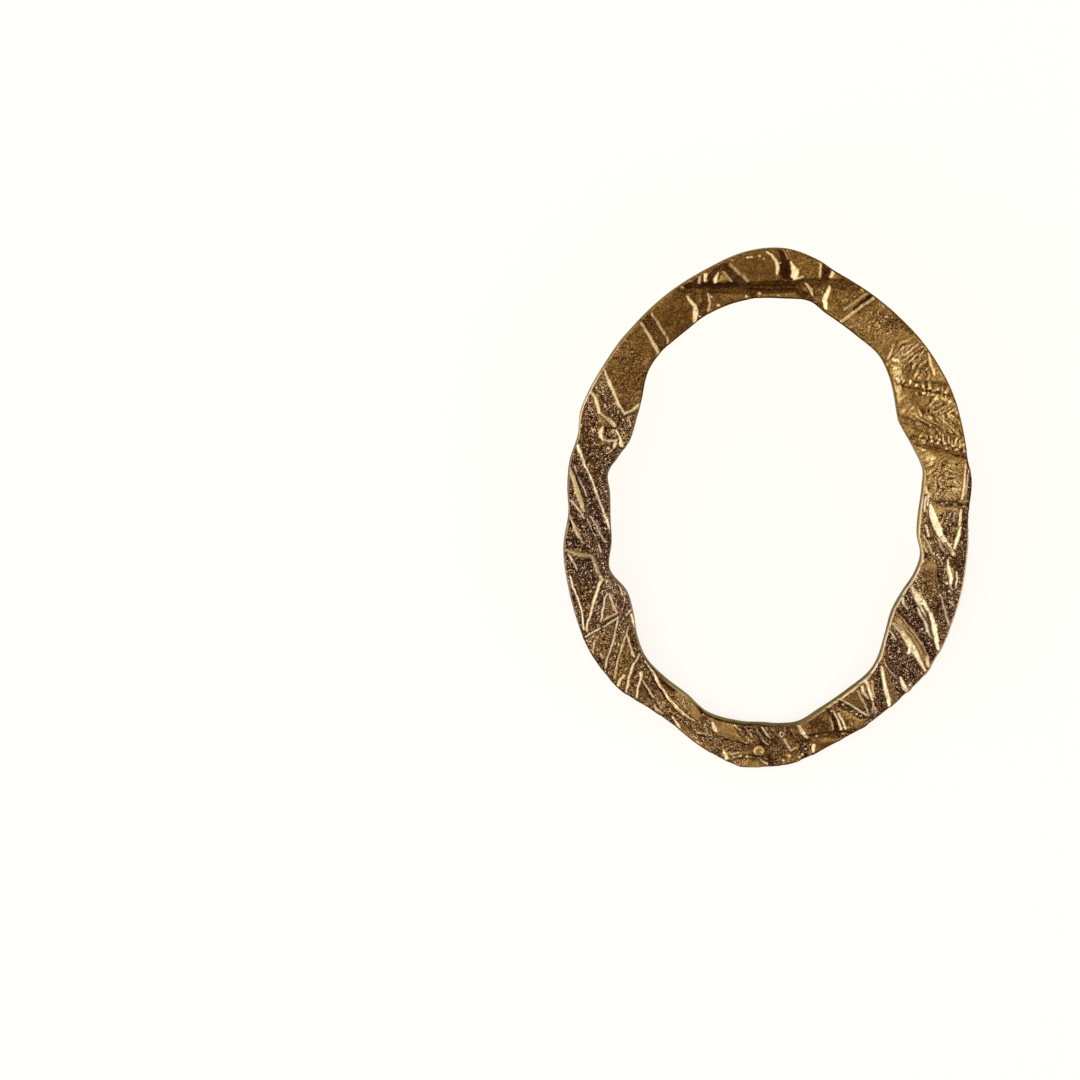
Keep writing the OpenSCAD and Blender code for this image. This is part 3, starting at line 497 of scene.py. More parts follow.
# %% Tables of beads and slits
# Columns: x, y, size in mm, how bare
BEADS = [
    # Top
    [-8.7, 22.5, 0.25, 0.7], [-5.2, 20.8, 0.3, 0.8], [-7, 19.7, 0.25, 0.7],
    [-5.9, 21.6, 0.25, 0.6], [-2.5, 21.7, 0.35, 0.8], [-1.2, 22, 0.3, 0.8], [0.6, 21.8, 0.2, 0.8],
    [-1.3, 25.6, 0.3, 0.6], [-0.9, 25.3, 0.25, 0.5], [-3.9, 25.2, 0.25, 0.5],
    [0.7, 24.9, 0.2, 0.8], [8.2, 22.8, 0.3, 0.7], [8.8, 22.3, 0.25, 0.7], [9.8, 21.5, 0.25, 0.8],
    # Upper right
    [12.3, 15.4, 0.55, 0.9], [12.2, 14.6, 0.4, 0.8], [12.4, 12.4, 0.4, 0.6],
    [14.4, 12.92, 0.36, 1], [15.05, 12.8, 0.34, 0.9], [15.75, 12.65, 0.36, 0.9],
    [16.5, 12.5, 0.34, 0.8], [17.25, 12.2, 0.36, 0.9], [17.7, 12.7, 0.36, 0.9],
    [14.4, 12.1, 0.22, 0.8], [15.1, 12.12, 0.4, 0.9], [16.35, 11.55, 0.45, 0.8],
    [17.7, 11.35, 0.4, 0.9], [14.6, 13.7, 0.3, 0.4], [13.1, 13.35, 0.34, 0.8],
    [13.75, 13.15, 0.36, 0.9], [12.5, 13.5, 0.36, 0.8], [16, 12.3, 0.25, 0.5],
    [15.6, 11.9, 0.25, 0.6], [17, 11.6, 0.3, 0.5],
    # Right
    [15.2, 7.4, 0.32, 0.7], [16.1, 7.3, 0.34, 0.8], [17.35, 7.1, 0.4, 0.8],
    [18.2, 6.85, 0.36, 0.8], [15.9, 8.9, 0.25, 0.6], [18.6, 6.5, 0.34, 0.8], [19.1, 7, 0.35, 0.8],
    [19.3, 6.3, 0.3, 0.7], [16.3, 5.6, 0.45, 0.8], [15.3, 6.5, 0.45, 0.6], [17.5, 1, 0.3, 0.35],
    [18.6, 0.95, 0.3, 0.4], [15.6, -4.7, 0.45, 0.8], [18.4, -7.9, 0.3, 0.7],
    [17.3, 1.1, 0.25, 0.5], [17.8, 1.15, 0.25, 0.5], [14.9, 7.8, 0.3, 0.6], [16.8, 7.5, 0.3, 0.6],
    [16.7, 7.15, 0.36, 0.8], [17.6, 6.6, 0.3, 0.6],
    # Lower right
    [14.8, -17.6, 0.3, 0.8], [13.4, -17.4, 0.22, 0.7], [13.5, -17.8, 0.22, 0.7],
    [13.6, -18.4, 0.2, 0.6],
    # Bottom
    [7.5, -19.45, 0.25, 0.5], [8.1, -19.7, 0.28, 0.5], [9, -20.4, 0.22, 0.5],
    [9.5, -20.7, 0.22, 0.6], [9.9, -20.9, 0.22, 0.5], [8.2, -22.75, 0.3, 0.6],
    [5.5, -23, 0.22, 0.6], [2.2, -25.6, 0.35, 0.7], [3.8, -25.2, 0.4, 0.7],
    [4.1, -24.95, 0.35, 0.8], [-2.2, -25.1, 0.3, 0.7], [-1.5, -25.2, 0.3, 0.7],
    [-2.9, -25.2, 0.3, 0.6], [-0.1, -24.6, 0.28, 0.7], [-5.55, -20.8, 0.25, 0.8],
    [-6.4, -21.6, 0.3, 0.5],
]
# Patches of worms: x, y, reach in mm, direction in degrees from +X, strength from 0 to 1
WORMS = [
    # Upper right
    [10.4, 18.8, 1.8, 60, 0.18], [12.9, 16.4, 1.2, 45, 0.54], [14.3, 16, 1.1, 40, 0.60],
    [14.6, 14.7, 1.1, 60, 0.47], [12.9, 14.4, 0.9, 15, 0.39], [13.2, 13.3, 0.8, 80, 0.54],
    [15.6, 13.9, 0.8, 70, 0.36], [15.6, 12.6, 1, 85, 0.50], [17.4, 12.1, 0.8, 75, 0.47],
    [16.2, 11.3, 0.9, 50, 0.60], [17.6, 10.9, 1, 40, 0.60], [16.3, 10, 0.9, -40, 0.60],
    [17.8, 9.5, 1.1, -42, 0.65], [14.9, 9.8, 0.8, -35, 0.57], [13.6, 10.5, 0.7, 70, 0.47],
    [15.8, 8.9, 0.8, -38, 0.57], [17.6, 8.4, 0.9, -50, 0.54], [15.6, 7.6, 0.8, 80, 0.60],
    [17, 7.6, 0.8, 85, 0.68], [18.7, 7.2, 0.8, 78, 0.68], [18.6, 8.4, 0.8, -60, 0.47],
    # Right
    [16.8, 4.6, 1.2, 50, 0.42], [18, 3.5, 1.2, -30, 0.42], [16.6, 2.7, 1, 70, 0.42],
    [17.8, -0.6, 0.9, 80, 0.44], [18.2, -1.8, 0.9, 70, 0.34], [19.7, 0.6, 0.9, 5, 0.27],
    [19.5, -2.4, 0.9, 60, 0.34], [15.7, 0, 0.8, 80, 0.34], [16.1, -2.8, 1, -62, 0.34],
    [17.4, -4, 0.9, 70, 0.37],
    # Lower right
    [17.4, -7, 0.9, -80, 0.34], [18.2, -8.6, 1.1, -70, 0.27], [15.8, -7.2, 1.1, 20, 0.17],
    [14.6, -10.2, 1.2, -60, 0.20], [13.4, -14.2, 1.2, 25, 0.24], [14.8, -15.6, 1.1, -15, 0.24],
    [11.6, -19.2, 1, -65, 0.27], [14.4, -12.2, 1, -52, 0.17],
    # Bottom
    [2.6, -23.2, 1.1, -55, 0.31], [0.6, -22.7, 1.2, -52, 0.34], [-1.8, -23, 1.2, -45, 0.34],
    [4.2, -24.4, 0.9, 60, 0.34], [1.8, -25.2, 1, 20, 0.24], [-3.4, -25, 0.9, 30, 0.31],
    [-6, -22.8, 1.4, -35, 0.34], [-8.6, -21.2, 1.2, -40, 0.31], [-8.4, -19.3, 1.1, -45, 0.17],
    # Lower left and left
    [-10.8, -19.2, 1.2, -55, 0.24], [-12.4, -16.4, 1.2, 60, 0.27], [-15, -15.4, 1.4, 75, 0.24],
    [-14.4, -12.6, 1.2, 70, 0.24], [-17, -13.2, 1.2, -40, 0.27], [-17.2, -10.2, 1.2, 65, 0.20],
    [-14.4, -9, 1, -60, 0.27], [-15.8, -7.4, 1, -70, 0.27], [-18.4, -5.8, 1.2, -40, 0.14],
    [-19, 2.2, 1.2, -66, 0.41], [-18.6, -1.2, 1.2, -62, 0.44], [-17, -1.4, 1.2, -66, 0.41],
    [-17, 2.6, 1.2, -70, 0.27], [-17, 6, 1.3, 30, 0.31], [-16.6, 7.9, 0.9, -20, 0.27],
    [-17.8, 9, 1.1, 70, 0.27], [-16, 11.6, 1.2, -60, 0.37], [-14.2, 9.2, 0.9, -50, 0.34],
    [-14.3, 15.4, 1.6, 20, 0.10],
]
# The one round boss: x, y, size and height in mm
BOSS = (-0.35, -24.55, 1.2, 0.12)
# Paths of the slits: x, y, width in mm
SLITS = [
    [[0.85, 26, 0.5], [1.15, 25.2, 0.6], [1.3, 24.6, 0.8], [1.35, 24], [1.5, 23.6, 0.5]],
    [[8, 20.4, 0.2], [9, 21.1], [9.8, 21.8, 0.25]],
    [[-2.4, 22.7, 0.16], [2.2, 22.75]],
    [[-2.4, 22.3, 0.16], [2.2, 22.3]],
    [[14.8, 12.85, 0.14], [14.85, 12.8]],
    [[15.4, 12.8, 0.16], [15.45, 12.75]],
    [[12.7, 13, 0.04], [13.6, 12.72, 0.06], [15.1, 12.45, 0.1], [16.5, 12.17, 0.12], [17.9, 11.86]],
    [[14.2, 7.1, 0.04], [15.3, 6.95, 0.06], [16.6, 6.6, 0.08], [18.1, 6.12, 0.1],
        [19.6, 5.65, 0.2]],
    [[15.75, 11.5, 0.14], [15.8, 11.4]],
    [[15.6, 10.3, 0.14], [15.65, 10.5]],
    [[18.5, 4.95, 0.12], [18.7, 4.9]],
    [[15.8, -9.4, 0.18], [16.2, -10.1, 0.2], [16.5, -11], [16.7, -11.6, 0.14]],
    [[6.5, -20.1, 0.2], [6.9, -20.9], [7.3, -21.9], [7.6, -22.6]],
    [[7.1, -20.8, 0.14], [7.6, -22.2]],
    [[0.6, -25.1, 0.35], [0.9, -25.5]],
    [[-2.2, -21.9, 0.08], [-1.2, -23.3]],
    [[-1.2, -22, 0.08], [-0.2, -23.5]],
    [[17.7, -2.9, 0.06], [18.2, -3.5], [18.5, -3.9]],
    [[-6.6, -20, 0.2], [-6.2, -20.5]],
    [[-11.5, -16.4, 0.08], [-11.1, -17.2, 0.1], [-10.5, -18.2], [-9.7, -19.1], [-9.2, -19.8, 0.08]],
    [[-19.6, -0.6, 0.14], [-19.4, -1.4]],
    [[-16.1, 8.6, 0.3], [-16.1, 8.4]],
]
print("beads:", len(BEADS), "slits:", len(SLITS))

# %% [markdown]
# ## Wear, region by region
#
# The hoop isn't the same all round. Its right arm is rubbed golden and grained like bark, its
# top is smooth and brown, its left arm is dark with pale specks. Short tables by angle give the
# run of it, and broad soft strokes give the single fields between the etched lines. Two numbers
# describe each place: its tone, from 0 for black-brown to 1 for bright gold, and its stipple,
# from 0 for smooth to 1 for strongly pitted.

# %% Tables of tone and stipple
# Columns: angle, tone and stipple of the face, tone and stipple of the ground, how golden,
# width of the sloped walls in mm, strength of the bark-like grain
REGIONS = np.array([
    [0, 0.54, 0.70, 0.30, 0.80, 0.60, 0.26, 0.120],
    [15, 0.61, 0.42, 0.44, 0.50, 0.85, 0.26, 0.084],
    [35, 0.62, 0.32, 0.48, 0.40, 0.92, 0.28, 0.180],
    [48, 0.60, 0.32, 0.50, 0.36, 0.84, 0.30, 0.240],
    [60, 0.50, 0.35, 0.48, 0.35, 0.80, 0.30, 0.120],
    [75, 0.45, 0.30, 0.24, 0.30, 0.85, 0.30, 0.120],
    [90, 0.38, 0.25, 0.21, 0.30, 0.85, 0.30, 0.060],
    [120, 0.36, 0.25, 0.27, 0.35, 0.82, 0.30, 0.060],
    [140, 0.35, 0.40, 0.34, 0.80, 0.72, 0.28, 0.084],
    [150, 0.35, 0.55, 0.32, 1.00, 0.62, 0.26, 0.060],
    [160, 0.27, 0.80, 0.23, 0.95, 0.50, 0.24, 0.024],
    [175, 0.26, 0.85, 0.17, 1.00, 0.32, 0.24, 0.024],
    [195, 0.26, 0.85, 0.19, 1.00, 0.32, 0.24, 0.024],
    [210, 0.33, 0.80, 0.27, 0.95, 0.45, 0.24, 0.024],
    [225, 0.38, 0.60, 0.26, 0.80, 0.66, 0.24, 0.036],
    [240, 0.47, 0.50, 0.38, 0.70, 0.62, 0.24, 0.060],
    [262, 0.52, 0.48, 0.40, 0.65, 0.66, 0.24, 0.060],
    [275, 0.39, 0.48, 0.28, 0.60, 0.70, 0.26, 0.060],
    [290, 0.41, 0.45, 0.20, 0.75, 0.75, 0.26, 0.036],
    [305, 0.43, 0.50, 0.21, 0.95, 0.50, 0.28, 0.024],
    [325, 0.36, 0.70, 0.20, 1.00, 0.38, 0.28, 0.024],
    [345, 0.38, 0.80, 0.27, 1.00, 0.56, 0.28, 0.036],
])
# Rows: tone, stipple, then the field's path as x, y, width in mm
FIELDS = [
    # Top
    (0.32, 0.20, [[-2.4, 24.2, 1.8], [-0.6, 24.4, 2]]),
    (0.43, 0.35, [[3.2, 24.8, 1.4], [3.8, 24, 1.2]]),
    (0.48, 0.15, [[-2, 21.9, 0.4], [2, 21.9]]),
    (0.46, 0.20, [[-4.8, 21.9, 0.6], [-3, 21.9, 0.7]]),
    (0.58, 0.20, [[-5, 23.7, 0.3], [-4.9, 23.3, 0.6]]),
    (0.32, 0.25, [[-9.3, 21, 2], [-9, 19.4]]),
    (0.38, 0.40, [[6.6, 21.6, 1.8], [8, 22, 1]]),
    (0.53, 0.45, [[8, 18.6, 1.6], [9.4, 19.2, 1.8]]),
    (0.42, 0.65, [[10.6, 19.2, 2], [11.6, 19]]),
    (0.28, 0.30, [[12.2, 19.9, 0.4], [13.7, 18.3, 0.5]]),
    (0.46, 0.25, [[10.2, 17, 0.8], [11.3, 16.3, 0.6]]),
    # Upper right and right
    (0.94, 0.40, [[12.4, 15.4, 0.5], [12.4, 11.5]]),
    (0.56, 0.15, [[13.2, 12.4, 0.4], [14.6, 12.4, 0.3]]),
    (0.47, 0.30, [[14.4, 11.4, 0.9], [15, 10.7, 0.8]]),
    (0.38, 0.20, [[14.5, 8.7, 0.4], [15.8, 8.2]]),
    (0.60, 0.45, [[16.6, 10.8, 1.2], [18, 9, 1.8], [18.6, 8.2, 1]]),
    (0.54, 0.15, [[15.6, 6.5, 0.5], [17.4, 6.2, 0.6], [19.2, 5.7, 0.5]]),
    (0.84, 0.30, [[15.8, 5.9, 0.5], [16.3, 5.4, 0.4]]),
    (0.56, 0.75, [[17.4, 4, 2], [17.5, 3.2]]),
    (0.72, 0.15, [[16.6, 0.45, 0.4], [18.8, 0.35, 0.35]]),
    (0.30, 1.00, [[17.9, -0.5, 1.6], [18.1, -2.2, 1]]),
    (0.70, 0.40, [[15.7, -2.6, 0.6], [16.2, -4, 0.8]]),
    (0.64, 0.20, [[18.45, -5.2, 0.2], [18.7, -6.2, 0.3], [18.75, -7, 0.2]]),
    # Lower right
    (0.36, 0.70, [[16.2, -6, 1.4], [16.2, -7.2, 1.8]]),
    (0.60, 0.15, [[16, -5.2, 0.7], [16.8, -5.4, 0.6]]),
    (0.12, 0.85, [[17, -9, 1.2], [17.4, -10, 1]]),
    (0.28, 0.90, [[17.7, -10.8, 1], [18, -11.8, 0.8]]),
    (0.74, 0.20, [[13.4, -10.8, 0.5], [14.4, -12, 0.9], [15.6, -13.6, 0.8], [16.3, -14.8, 0.5]]),
    (0.34, 0.80, [[11.4, -16.6, 0.7], [11.8, -18.4, 0.9]]),
    (0.47, 0.35, [[12.5, -17, 0.4], [13, -18.8, 0.6]]),
    (0.50, 0.25, [[14.4, -17.2, 0.4], [14.9, -17.7]]),
    (0.40, 0.35, [[9.2, -18.8, 0.8], [9.9, -19.8, 0.5]]),
    # Bottom
    (0.57, 0.35, [[8, -20.2, 0.6], [9.6, -21.5, 0.8]]),
    (0.40, 0.60, [[8.9, -21.6, 0.6], [8.8, -22.2, 0.5]]),
    (0.29, 0.45, [[5.4, -21.6, 1], [6.2, -22]]),
    (0.32, 0.15, [[5.6, -23.9, 0.7], [6.4, -23.8, 0.6], [7.9, -23.5, 0.4]]),
    (0.60, 0.10, [[6, -23.35, 0.25], [7.9, -23.25]]),
    (0.46, 0.60, [[-1.6, -22.6, 1.2], [1.2, -22.8]]),
    (0.56, 0.20, [[-1.6, -25.95, 0.5], [-0.4, -26]]),
    (0.60, 0.30, [[-2.4, -24.5, 0.5], [-1.6, -24.5, 0.6]]),
    (0.56, 0.20, [[-4.6, -21.7, 0.7], [-3.4, -22.4, 0.9], [-2.6, -23.5, 0.7]]),
    (0.55, 0.55, [[-7.8, -22.4, 0.8], [-6.6, -23.3, 0.7]]),
    (0.51, 0.60, [[-9.6, -18.3, 0.5], [-8.3, -19.4, 1.2], [-7.4, -20.4, 1]]),
    (0.66, 0.20, [[-7, -19.9, 0.5], [-6.6, -21, 0.6]]),
    (0.12, 0.30, [[-10.8, -15.9, 0.2], [-10, -17.1, 0.6], [-9.2, -18, 0.4]]),
    # Lower left
    (0.36, 0.35, [[-12.3, -17.7, 0.4], [-12.1, -18.6, 0.7]]),
    (0.40, 0.55, [[-15.6, -9.1, 0.4], [-15.6, -10.2, 0.7]]),
    (0.40, 0.60, [[-14, -13.4, 0.3], [-14.1, -15.4, 0.8]]),
    # Left
    (0.14, 0.75, [[-18.4, -5.6, 1.6], [-18.4, -6.4, 1.2]]),
    (0.25, 0.85, [[-18.1, -7.4, 0.9], [-18, -8.6, 0.8]]),
    (0.62, 0.80, [[-16.4, 7, 0.6], [-16, 6.4, 0.5]]),
    (0.45, 0.50, [[-19.4, -3.75, 0.3], [-17.6, -4.3, 0.4]]),
    (0.38, 1.00, [[-17.6, -1, 1.4], [-17.2, -3]]),
    (0.22, 0.80, [[-18.2, 6.4, 0.9], [-17, 5, 0.8]]),
    (0.25, 0.85, [[-16.9, 3.4, 1], [-16.2, 1.4, 0.6]]),
    (0.30, 0.90, [[-19.4, 2.6, 0.5], [-19.3, 1.4]]),
    (0.50, 0.30, [[-16.7, 9.9, 0.6], [-16.1, 9.2, 0.5]]),
    (0.40, 0.40, [[-17.7, 11.5, 0.5], [-17.6, 10.9, 0.6]]),
    (0.37, 0.45, [[-14.8, 13.4, 1.6], [-13.8, 11.4, 1]]),
    (0.42, 0.50, [[-13.4, 10.9, 0.5], [-13, 11.4]]),
    (0.28, 0.90, [[-14, 8.2, 0.8], [-14.2, 7.2, 0.6]]),
    (0.35, 0.50, [[-14.4, 16.4, 2], [-12.8, 14.4]]),
]
# Rows as above, for the ground of the grooves alone
GROUND_FIELDS = [
    (0.14, 0.80, [[20.2, 4.5, 0.5], [20.2, 2, 0.6], [20, -1, 0.7], [19.8, -3.4]]),
    (0.19, 0.25, [[-3, 22.7, 0.6], [2, 22.6]]),
    (0.04, 0.20, [[-8.2, 22.7, 0.5], [-3, 22.9, 0.6]]),
    (0.06, 0.20, [[1.2, 25, 0.8], [1.4, 23.8]]),
    (0.30, 0.15, [[0.6, 26.2, 0.6], [0.8, 25.6]]),
    (0.12, 0.25, [[5.2, 24.6, 0.9], [5.1, 23.6, 0.8]]),
    (0.26, 0.30, [[3.6, 22.8, 0.6], [7.6, 22.9, 0.5]]),
    (0.36, 0.45, [[4.6, 22.2, 0.8], [4.4, 21, 0.9]]),
    (0.19, 0.30, [[-4.6, 24.4, 0.6], [-2.6, 22.8, 0.7]]),
    (0.58, 0.20, [[14.8, 13.35, 0.4], [16, 13.35, 0.45]]),
    (0.84, 0.15, [[16.4, 1.8, 0.5], [18.8, 1.65]]),
    (0.74, 0.15, [[16.6, 0.5, 0.3], [18.8, 0.35]]),
    (0.12, 0.50, [[17, 1.1, 0.3], [18.6, 0.95]]),
    (0.44, 0.70, [[15.7, 0.9, 0.4], [15.8, -0.6, 0.5]]),
    (0.34, 0.70, [[16, -1.4, 0.6], [16.8, -3.2, 0.8]]),
    (0.46, 1.00, [[17, -3.9, 0.6], [17.4, -4.6, 0.5]]),
    (0.78, 0.20, [[15.9, -5.3, 0.6], [16.7, -5.3]]),
    (0.18, 0.80, [[17.8, -5, 0.5], [19.4, -5, 0.8]]),
    (0.16, 0.90, [[17.3, -5.8, 0.7], [17.6, -7.5]]),
    (0.33, 0.60, [[0.8, -23.6, 1], [1.8, -24.6, 1.6], [1, -25.6, 1]]),
    (0.12, 0.30, [[0.6, -25.3, 0.5], [0.9, -25.7]]),
    (0.24, 0.50, [[4.8, -23.2, 0.5], [7.6, -22.8]]),
    (0.14, 0.70, [[11.5, -19.8, 0.4], [12.3, -20.4]]),
    (0.46, 0.60, [[-7, -22, 0.5], [-5.6, -22.8]]),
    (0.34, 0.60, [[3.2, -22.6, 0.8], [3.4, -23.4, 0.6]]),
    (0.27, 0.90, [[-15, 9.5, 0.7], [-14.4, 9.2, 0.8]]),
    (0.36, 0.90, [[-13.5, 9.8, 0.8], [-13.2, 9]]),
    (0.18, 0.70, [[-17.8, 6.8, 0.8], [-18.1, 8.4]]),
    (0.18, 0.90, [[-18.8, 5, 0.6], [-18.2, 3, 0.8], [-17.6, 1.2, 1]]),
    (0.24, 0.70, [[-19.5, 0.2, 0.6], [-18.6, -0.9, 0.7]]),
    (0.68, 0.80, [[-17.4, -12.4, 0.6], [-17.8, -13]]),
    (0.30, 0.80, [[11.2, -17, 0.6], [11.4, -18]]),
    (0.28, 0.80, [[4, -24.2, 0.6], [4.9, -24.8]]),
    (0.38, 1.10, [[-15.8, -6.6, 0.8], [-15.2, -7.6]]),
    (0.58, 0.70, [[-11, -19.2, 0.7], [-10.4, -20]]),
]
print("regions:", len(REGIONS), "fields:", len(FIELDS))

# %% [markdown]
# ## From strokes to depth
#
# Inside a stroke the ground is at full depth. Etchant eats sideways too, so the wall outside
# the stroke slopes up over a third of a millimetre. These slopes matter most for the look: they
# mirror the bright surroundings, while the flat face mirrors the dimmer ceiling. The distance to
# a stroke is found for all points of the face at once, one stroke at a time.

# %% Distance to a stroke
ETCH_DEPTH = 0.25
# Farther than any point of the hoop is from a path, in mm
FAR = 1000.0


def smooth(value, low, high):
    """0 below low, 1 above high, and between them 3 t^2 - 2 t^3 of the way t."""
    t = np.clip((value - low) / (high - low), 0, 1)
    return t * t * (3 - 2 * t)


def mix(a, b, share):
    """The value a where the share is 0, b where it is 1, and in between by that share."""
    return a + share * (b - a)


def points_of(path):
    """Rows x, y, width of a path, scaled to the stated size. A point without a width has the
    width of the point before it."""
    rows = []
    for point in path:
        rows.append(point if len(point) == 3 else point + rows[-1][2:])
    return np.array(rows, float) * [*STRETCH, 1]


def stroke(x, y, path):
    """Three numbers a point: the distance to a path less the path's half width there, that
    width, and how far the point lies to the right of someone who walks along the path. The
    path is straight between its points, and its width changes evenly."""
    nearest = np.full(x.shape, FAR)
    width_there = np.zeros(x.shape)
    across_there = np.zeros(x.shape)
    points = points_of(path)
    for a, b in zip(points[:-1], points[1:]):
        along = b[:2] - a[:2]
        length = np.hypot(*along)
        to_right = np.array([along[1], -along[0]]) / length
        t = np.clip(((x - a[0]) * along[0] + (y - a[1]) * along[1]) / length**2, 0, 1)
        width = a[2] + t * (b[2] - a[2])
        gap = np.hypot(x - a[0] - t * along[0], y - a[1] - t * along[1]) - width / 2
        across = (x - a[0]) * to_right[0] + (y - a[1]) * to_right[1]
        closer = gap < nearest
        nearest = np.where(closer, gap, nearest)
        width_there = np.where(closer, width, width_there)
        across_there = np.where(closer, across, across_there)
    return nearest, width_there, across_there


# %% [markdown]
# ## Hammered grain
#
# Etched brass is never smooth. Seeded random numbers on a square lattice, joined by a smooth
# curve between lattice points, give lumps of any size. A few such layers make the stipple of
# the ground, the grain of the face and the uneven edges of the etched lines. The same lumps
# bend a plain wave, and that makes the worms of the bark-like grain.

# %% Seeded lattice noise and bark
LATTICE = 512
LATTICE_START = 1000.0


def lattice_noise(x, y, pitch, seed):
    """Smooth random values from -1 to 1: random numbers at the corners of squares of the
    given pitch, blended by an S-curve in both directions."""
    table = np.random.default_rng(seed).uniform(-1, 1, (LATTICE, LATTICE))
    px, py = x / pitch + LATTICE_START, y / pitch + LATTICE_START
    ix, iy = np.floor(px).astype(int), np.floor(py).astype(int)
    tx, ty = smooth(px - ix, 0, 1), smooth(py - iy, 0, 1)

    def corner(dx, dy):
        return table[(ix + dx) % LATTICE, (iy + dy) % LATTICE]

    low = mix(corner(0, 0), corner(1, 0), tx)
    high = mix(corner(0, 1), corner(1, 1), tx)
    return mix(low, high, ty)


def bark(x, y, spacing, degrees, seed):
    """Raised worms with hollows between them, from -0.4 to 0.6. It is a sine wave across the
    worms, s = sin(2 pi (v / spacing + drift)), where v runs across them and the drift is a
    noise, so they wander and fork. The wave is sharpened, and a second noise breaks it up."""
    turn = math.radians(degrees)
    u = x * math.cos(turn) + y * math.sin(turn)
    v = y * math.cos(turn) - x * math.sin(turn)
    drift = 0.6 * lattice_noise(u / 1.2, v, 0.7, seed)
    broken = smooth(lattice_noise(u / 1.3, v, 0.38, seed + 1), -0.4, 0.45)
    wave = np.sin(2 * math.pi * (v / spacing + drift))
    return (smooth(wave, -0.4, 0.9) - 0.4) * (0.2 + 0.8 * broken)


# %% [markdown]
# ## The face as a grid
#
# The hoop is one closed skin. Its profile runs round the section: the back, the inner wall, the
# inner rim, the face, the outer rim and the outer wall. That profile is carried round the hoop
# in 1380 steps, so the face gets a grid finer than a tenth of a millimetre, enough for the
# etched lines to be true shapes. The rim of the sheet is softened by a quarter ellipse.

# %% Points of the face
STATIONS = 1380
FACE_ROWS = 56
RIM_ROWS = 4
RIM = 0.2

angle = np.arange(STATIONS) * 360 / STATIONS
share = np.linspace(0, 1, FACE_ROWS)
inner = radius_at(angle, 2)
outer = radius_at(angle, 1)
face_radius = (inner + RIM)[:, None] + share * (outer - inner - 2 * RIM)[:, None]
face_x, face_y = placed(face_radius, angle[:, None])


def by_angle(table, column):
    """One column of a table by angle, for each station: straight between rows, all round."""
    return np.interp(angle, table[:, 0], table[:, column], period=360)[:, None]


(face_tone, face_stipple, ground_tone, ground_stipple,
 gold, wall, bark_strength) = [by_angle(REGIONS, column) for column in range(1, 8)]
step_x, step_y = np.diff(face_x, axis=0), np.diff(face_y, axis=0)
print("face points:", face_x.size, "about", np.median(np.hypot(step_x, step_y)).round(3),
      "mm apart along the hoop")

# %% Grooves, standing lines and their ground
# Grooves broader than 3 mm are only bitten, not blackened: half as deep, and the face's colour
PALE_FROM, PALE_WALL, PALE_DEPTH = 3.0, 0.9, 0.5
# A thin groove has a narrow wall, but never narrower than this
LEAST_WALL = 0.14
# What a line left standing keeps of the groove's depth
STANDING_DEPTH = 0.15


def wander(seed):
    """Shift in mm that makes an etched line uneven: a coarse noise and a fine one."""
    return (0.06 * lattice_noise(face_x, face_y, 0.8, seed)
            + 0.04 * lattice_noise(face_x, face_y, 0.3, seed + 1))


# The strokes are drawn on points that are shifted a little
ragged_x, ragged_y = face_x + wander(11), face_y + wander(13)


def inside_of(path, low, high):
    """1 on a stroke, falling to 0 between two distances from its edge in mm."""
    gap, _, _ = stroke(ragged_x, ragged_y, path)
    return 1 - smooth(gap, low, high)


etched = np.zeros(face_x.shape)
dark = np.zeros(face_x.shape)
for path in GROOVES:
    gap, width, _ = stroke(ragged_x, ragged_y, path)
    pale = path[0][2] > PALE_FROM
    reach = PALE_WALL if pale else np.minimum(wall, LEAST_WALL + 0.5 * width)
    level = 1 - np.clip(gap / reach, 0, 1)
    # The wall is partly straight and partly S-shaped, and thin lines stay shallower
    level = mix(level, smooth(level, 0, 1), 0.4) * np.clip(0.4 + width, 0, 1)
    if pale:
        level *= PALE_DEPTH
    else:
        dark = np.maximum(dark, smooth(level, 0.4, 0.85))
    etched = np.maximum(etched, level)
for path in RIDGES:
    standing = inside_of(path, -0.04, 0.16)
    etched = mix(etched, STANDING_DEPTH * etched, standing)
    dark = mix(dark, 0.2 * dark, standing)
print("share of the face that is etched dark:", (dark > 0.5).mean().round(3))

# %% Tone and stipple of each place
def painted(fields, softness, tones, stipples):
    """Tone and stipple, with the values of each field laid over them where the field is."""
    for field_tone, field_stipple, path in fields:
        inside = inside_of(path, -0.1, softness)
        tones = mix(tones, field_tone, inside)
        stipples = mix(stipples, field_stipple, inside)
    return tones, stipples


tone, stipple = painted(FIELDS, 0.35, face_tone, face_stipple)
low_tone, low_stipple = painted(GROUND_FIELDS, 0.25, ground_tone, ground_stipple)
tone = mix(tone, low_tone, dark)
stipple = mix(stipple, low_stipple, dark)
print("mean tone:", tone.mean().round(3), "mean stipple:", stipple.mean().round(3))

# %% Bright slopes and crests
# Strokes have a soft edge, this far to either side, in mm
EDGE = 0.06
# A crest is this high in mm, and this much of its width higher
CREST_LEAST, CREST_BY_WIDTH = 0.02, 0.22

